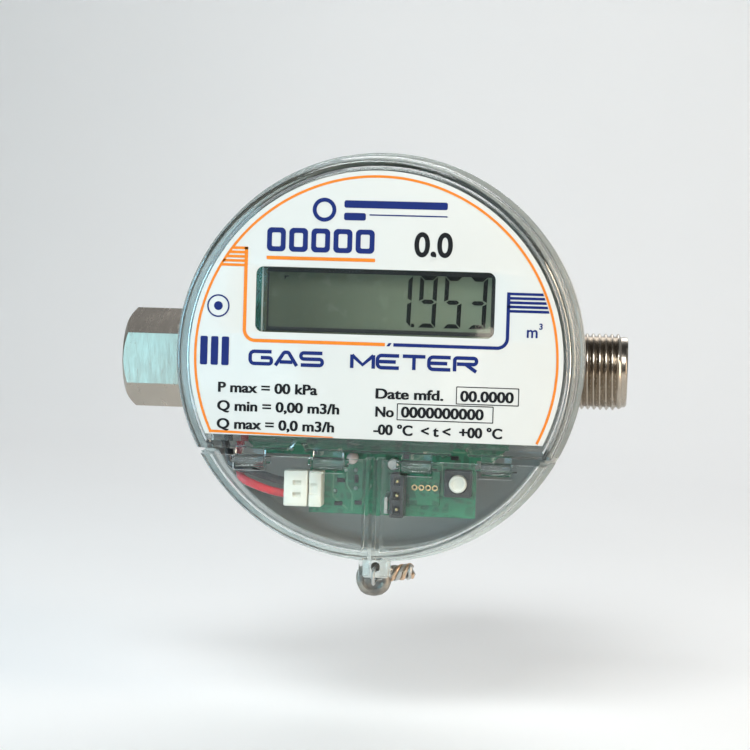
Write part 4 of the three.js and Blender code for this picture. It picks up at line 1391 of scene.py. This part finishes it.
def twisted(route, radius, strand, pitch, phase):
    """One strand that winds round a route of (x, y, z) points in mm."""
    points = []
    steps = len(route) * 8
    for i in range(steps + 1):
        t = i / steps * (len(route) - 1)
        k = min(int(t), len(route) - 2)
        here = Vector(route[k]).lerp(Vector(route[k + 1]), t - k)
        along = (Vector(route[k + 1]) - Vector(route[k])).normalized()
        side = along.cross(Vector((0, 1, 0))).normalized()
        up = side.cross(along)
        a = phase + 2 * math.pi * i / pitch
        points.append(here + (side * math.cos(a) + up * math.sin(a)) * radius)
    return tube("strand", points, strand, sides=8, smooth=3)


class METER_OT_wire_seal(bpy.types.Operator):
    """Adds the pressed seal, its wire loop and the twisted tail"""
    bl_idname = "meter.wire_seal"
    bl_label = "Wire seal"

    def execute(self, context):
        low, high = mm_box("lead_seal")
        x, z, r = (low.x + high.x) / 2, (low.z + high.z) / 2, (high.x - low.x) / 2
        half = (high.y - low.y) / 2
        y = (low.y + high.y) / 2
        profile = filleted([(0, y - half + 0.35), (r * 0.5, y - half + 0.3, 0.4), (r * 0.66, y - half, 0.4),
                            (r, y - half, 1.5), (r, y + half, 1.5),
                            (r * 0.6, y + half, 0.4), (0, y + half - 0.3)],
                           closed=False)
        disc = turned("seal_disc", profile, "Y", (x, 0, z), 48, closed=False)
        dents = disc.modifiers.new("dents", "DISPLACE")
        grain = bpy.data.textures.new("dents", "CLOUDS")
        grain.noise_scale = 0.0022
        dents.texture, dents.strength, dents.mid_level = grain, 0.0005, 0.5
        only(disc)
        bpy.ops.object.modifier_apply(modifier=dents.name)
        done(disc, "seal", "seal", ["lead_seal"], smooth=60)
        loop_low, loop_high = mm_box("seal_wire")
        top, base, front = loop_high.z - 0.4, loop_low.z + 0.4, loop_low.y + 0.4
        route = [(0, y - half + 1.2, top), (0, -25, top), (0, -27.5, top), (0, -29.6, top),
                 (0, front, top - 0.6), (0, front - 0.05, (top + base) / 2),
                 (0, front + 0.7, base + 0.1), (0, -28.4, base), (0, -25, base),
                 (0, y - half + 1.2, base)]
        strands = [twisted(route, 0.17, 0.2, 10, p) for p in (0, 2.1, 4.2)]
        done(group("seal_loop", strands), "seal", "steel", ["seal_wire"], smooth=60)
        low, high = mm_box("seal_tail")
        tail = [(low.x - 0.2, y, z + 1.2), (low.x + 1.5, y, z + 1.2), (low.x + 3.4, y - 0.2, z + 1.5),
                (low.x + 5, y - 0.5, z + 1.9), (high.x - 0.6, y - 0.5, z + 2.1)]
        bundle = [twisted(tail, 1.1 + 0.12 * (k % 3), 0.44, 28 + 3 * (k % 2), math.pi / 4 * k)
                  for k in range(8)]
        steel = bundle[:2] + bundle[3:7]
        done(group("seal_tail_steel", steel), "seal", "steel", ["seal_tail"], smooth=60)
        done(group("seal_tail_copper", [bundle[2], bundle[7]]), "seal", "copper", smooth=60)
        wraps = []
        for k, (lean, lift, reach) in enumerate(((0.5, 1.2, 2.5), (-0.2, 0.6, 2.2), (1.0, 1.9, 2.3))):
            ring = [(x + 0.9 + reach * math.cos(a), y + (half + 0.1) * math.sin(a) * math.cos(lean),
                     z + lift + reach * math.sin(a) * math.sin(lean) + 0.5 * math.cos(a) * k)
                    for a in [2 * math.pi * i / 12 for i in range(12)]]
            wraps.append(tube("wrap", ring, 0.3, sides=8, smooth=4))
        done(group("seal_wraps", wraps), "seal", "steel", smooth=60)
        return {"FINISHED"}


# ---------------------------------------------------------------- what stays from the frame


KEPT = {
    "board": ["circuit_board"],
    "rubber": ["contact_strip_lower", "contact_strip_upper", "inlet_o_ring", "outlet_o_ring"],
    "ivory": ["display_holder", "jet_block"],
    "black": ["processor_chip", "memory_chip"],
    "steel": ["timing_crystal", "jet_plate", "housing_screw_1", "housing_screw_2", "housing_screw_3"],
    "sleeve": ["battery_cell"],
    "housing": ["battery_tray"],
    "brass": ["inlet_strainer", "pressure_sensor_left", "pressure_sensor_right"],
    "black_lead": ["sensor_lead_left", "sensor_lead_right"],
}


class METER_OT_kept_parts(bpy.types.Operator):
    """Gives each piece that keeps its frame shape its finish"""
    bl_idname = "meter.kept_parts"
    bl_label = "Inner parts"

    def execute(self, context):
        for look, nodes in KEPT.items():
            for node in nodes:
                piece = frame["nodes"][node]
                if not piece.material_slots:
                    piece.data.materials.append(finish(look))
                for slot in piece.material_slots:
                    slot.material = finish(look)
        return {"FINISHED"}


# ---------------------------------------------------------------- stage


def softbox(name, at, target, size, power, rgb):
    let_go()
    bpy.ops.object.light_add(type="AREA", location=at)
    lamp = bpy.context.object
    lamp.name = name
    lamp.data.shape = "RECTANGLE"
    lamp.data.size, lamp.data.size_y = size
    lamp.data.energy, lamp.data.color = power, rgb
    lamp.rotation_euler = (Vector(target) - Vector(at)).to_track_quat("-Z", "Y").to_euler()
    return lamp


class METER_OT_stage(bpy.types.Operator):
    """Adds the pale floor and backdrop, the soft lights and the camera"""
    bl_idname = "meter.stage"
    bl_label = "Stage"

    def execute(self, context):
        low, back, front, rise, bend = -0.075, 1.1, -6, 0.975, 0.5
        bpy.ops.mesh.primitive_plane_add(size=1, location=(0, (front + back) / 2, low))
        floor = bpy.context.object
        floor.name = "floor"
        floor.scale = (10, back - front, 1)
        place(floor)
        for step in ("wall", "bend"):
            with shaping(floor, "NONE"):
                bpy.ops.mesh.select_mode(type="EDGE")
                mesh = bmesh.from_edit_mesh(floor.data)
                for edge in mesh.edges:
                    edge.select_set(all(v.co.y > back - 0.01 and v.co.z < low + 0.01 for v in edge.verts))
                bmesh.update_edit_mesh(floor.data)
                if step == "wall":
                    bpy.ops.mesh.extrude_region_move(TRANSFORM_OT_translate={"value": (0, 0, rise)})
                else:
                    bpy.ops.mesh.bevel(offset=bend, segments=16, affect="EDGES")
        bpy.ops.object.shade_smooth()
        f = Finish("pale_floor")
        f.feed("Base Color", f.mixed(f.noise(240), (0.90, 0.90, 0.90), (0.94, 0.94, 0.94)))
        f.feed("Roughness", 0.7)
        floor.data.materials.append(f.material)

        world = bpy.data.worlds.new("studio")
        context.scene.world = world
        world.use_nodes = True
        tree = world.node_tree
        back = tree.nodes["Background"]
        where = tree.nodes.new("ShaderNodeTexCoord")
        parts = tree.nodes.new("ShaderNodeSeparateXYZ")
        ramp = tree.nodes.new("ShaderNodeValToRGB")
        ramp.color_ramp.elements[0].position, ramp.color_ramp.elements[0].color = 0.12, (0.10, 0.105, 0.11, 1)
        ramp.color_ramp.elements[1].position, ramp.color_ramp.elements[1].color = 0.5, (0.90, 0.95, 1.0, 1)
        spread = tree.nodes.new("ShaderNodeMapRange")
        spread.inputs["From Min"].default_value = -1
        tree.links.new(where.outputs["Generated"], parts.inputs[0])
        rise = tree.nodes.new("ShaderNodeMath")
        rise.operation = "MULTIPLY"
        rise.inputs[1].default_value = -1.0
        level = tree.nodes.new("ShaderNodeMath")
        tree.links.new(parts.outputs["Z"], rise.inputs[0])
        tree.links.new(parts.outputs["Y"], level.inputs[0])
        tree.links.new(rise.outputs[0], level.inputs[1])
        tree.links.new(level.outputs[0], spread.inputs[0])
        tree.links.new(spread.outputs[0], ramp.inputs[0])
        tree.links.new(ramp.outputs[0], back.inputs["Color"])
        back.inputs["Strength"].default_value = 0.72

        middle = (0, -0.03, 0)
        softbox("key_light", (-0.12, -0.80, 0.75), middle, (0.6, 0.4), 8, (0.95, 0.99, 1.0))
        softbox("warm_light", (0.75, -0.35, 0.15), middle, (0.3, 0.6), 5, (1.0, 0.80, 0.60))
        softbox("cool_light", (-0.8, -0.2, 0.05), middle, (0.3, 0.6), 3.4, (0.42, 0.80, 1.0))
        softbox("back_light", (0.1, 0.9, 0.8), middle, (0.8, 0.5), 4.5, (1, 1, 1))
        softbox("cool_card", (-0.31, -0.70, -0.02), (-0.05, 0, 0), (0.24, 0.3), 0.95, (0.36, 0.80, 1.0))
        softbox("warm_card", (0.055, -0.72, -0.03), (0.05, 0, 0), (0.06, 0.09), 0.08, (1.0, 0.88, 0.72))

        turn, rise, roll = (math.radians(a) for a in (6.2, 2.3, 1.7))
        distance, focal_pixels, frame_pixels = 0.452, 2048, 750
        target = Vector((-0.0042, 0, -0.0024))
        forward = Vector((-math.sin(turn) * math.cos(rise), math.cos(turn) * math.cos(rise), -math.sin(rise)))
        right = forward.cross(Vector((0, 0, 1))).normalized()
        up = right.cross(forward)
        rolled_right = right * math.cos(roll) + up * math.sin(roll)
        rolled_up = up * math.cos(roll) - right * math.sin(roll)
        data = bpy.data.cameras.new("camera")
        data.sensor_width = 36
        data.lens = focal_pixels / frame_pixels * data.sensor_width
        data.clip_start, data.clip_end = 0.01, 20
        camera = bpy.data.objects.new("camera", data)
        context.scene.collection.objects.link(camera)
        spot = target - forward * distance
        axes = Matrix((rolled_right, rolled_up, -forward)).transposed().to_4x4()
        camera.matrix_world = Matrix.Translation(spot) @ axes
        context.scene.camera = camera
        context.scene.view_settings.view_transform = "Standard"
        return {"FINISHED"}


OPERATORS = [
    METER_OT_stage, METER_OT_kept_parts, METER_OT_housing, METER_OT_gas_body, METER_OT_inlet, METER_OT_outlet,
    METER_OT_screws, METER_OT_board_parts, METER_OT_terminals, METER_OT_battery_lead, METER_OT_display,
    METER_OT_clear_front, METER_OT_clear_doors, METER_OT_face_label, METER_OT_label_print, METER_OT_wire_seal,
]


class METER_PT_sidebar(bpy.types.Panel):
    """Lists the meter's sizes, colours and pieces"""
    bl_label = "Gas meter"
    bl_idname = "METER_PT_sidebar"
    bl_space_type = "VIEW_3D"
    bl_region_type = "UI"
    bl_category = "Gas meter"

    def draw(self, context):
        for settings in (context.scene.meter_sizes, context.scene.meter_colours):
            column = self.layout.column()
            for name in settings.__annotations__:
                column.prop(settings, name)
        for operator in OPERATORS:
            self.layout.operator(operator.bl_idname)


CLASSES = [MeterSizes, MeterColours, *OPERATORS, METER_PT_sidebar]


def register():
    for kind in CLASSES:
        bpy.utils.register_class(kind)
    bpy.types.Scene.meter_sizes = PointerProperty(type=MeterSizes)
    bpy.types.Scene.meter_colours = PointerProperty(type=MeterColours)


def unregister():
    del bpy.types.Scene.meter_colours
    del bpy.types.Scene.meter_sizes
    for kind in reversed(CLASSES):
        bpy.utils.unregister_class(kind)


def main():
    register()
    for operator in OPERATORS:
        family, name = operator.bl_idname.split(".")
        getattr(getattr(bpy.ops, family), name)()


if __name__ == "__main__":
    main()
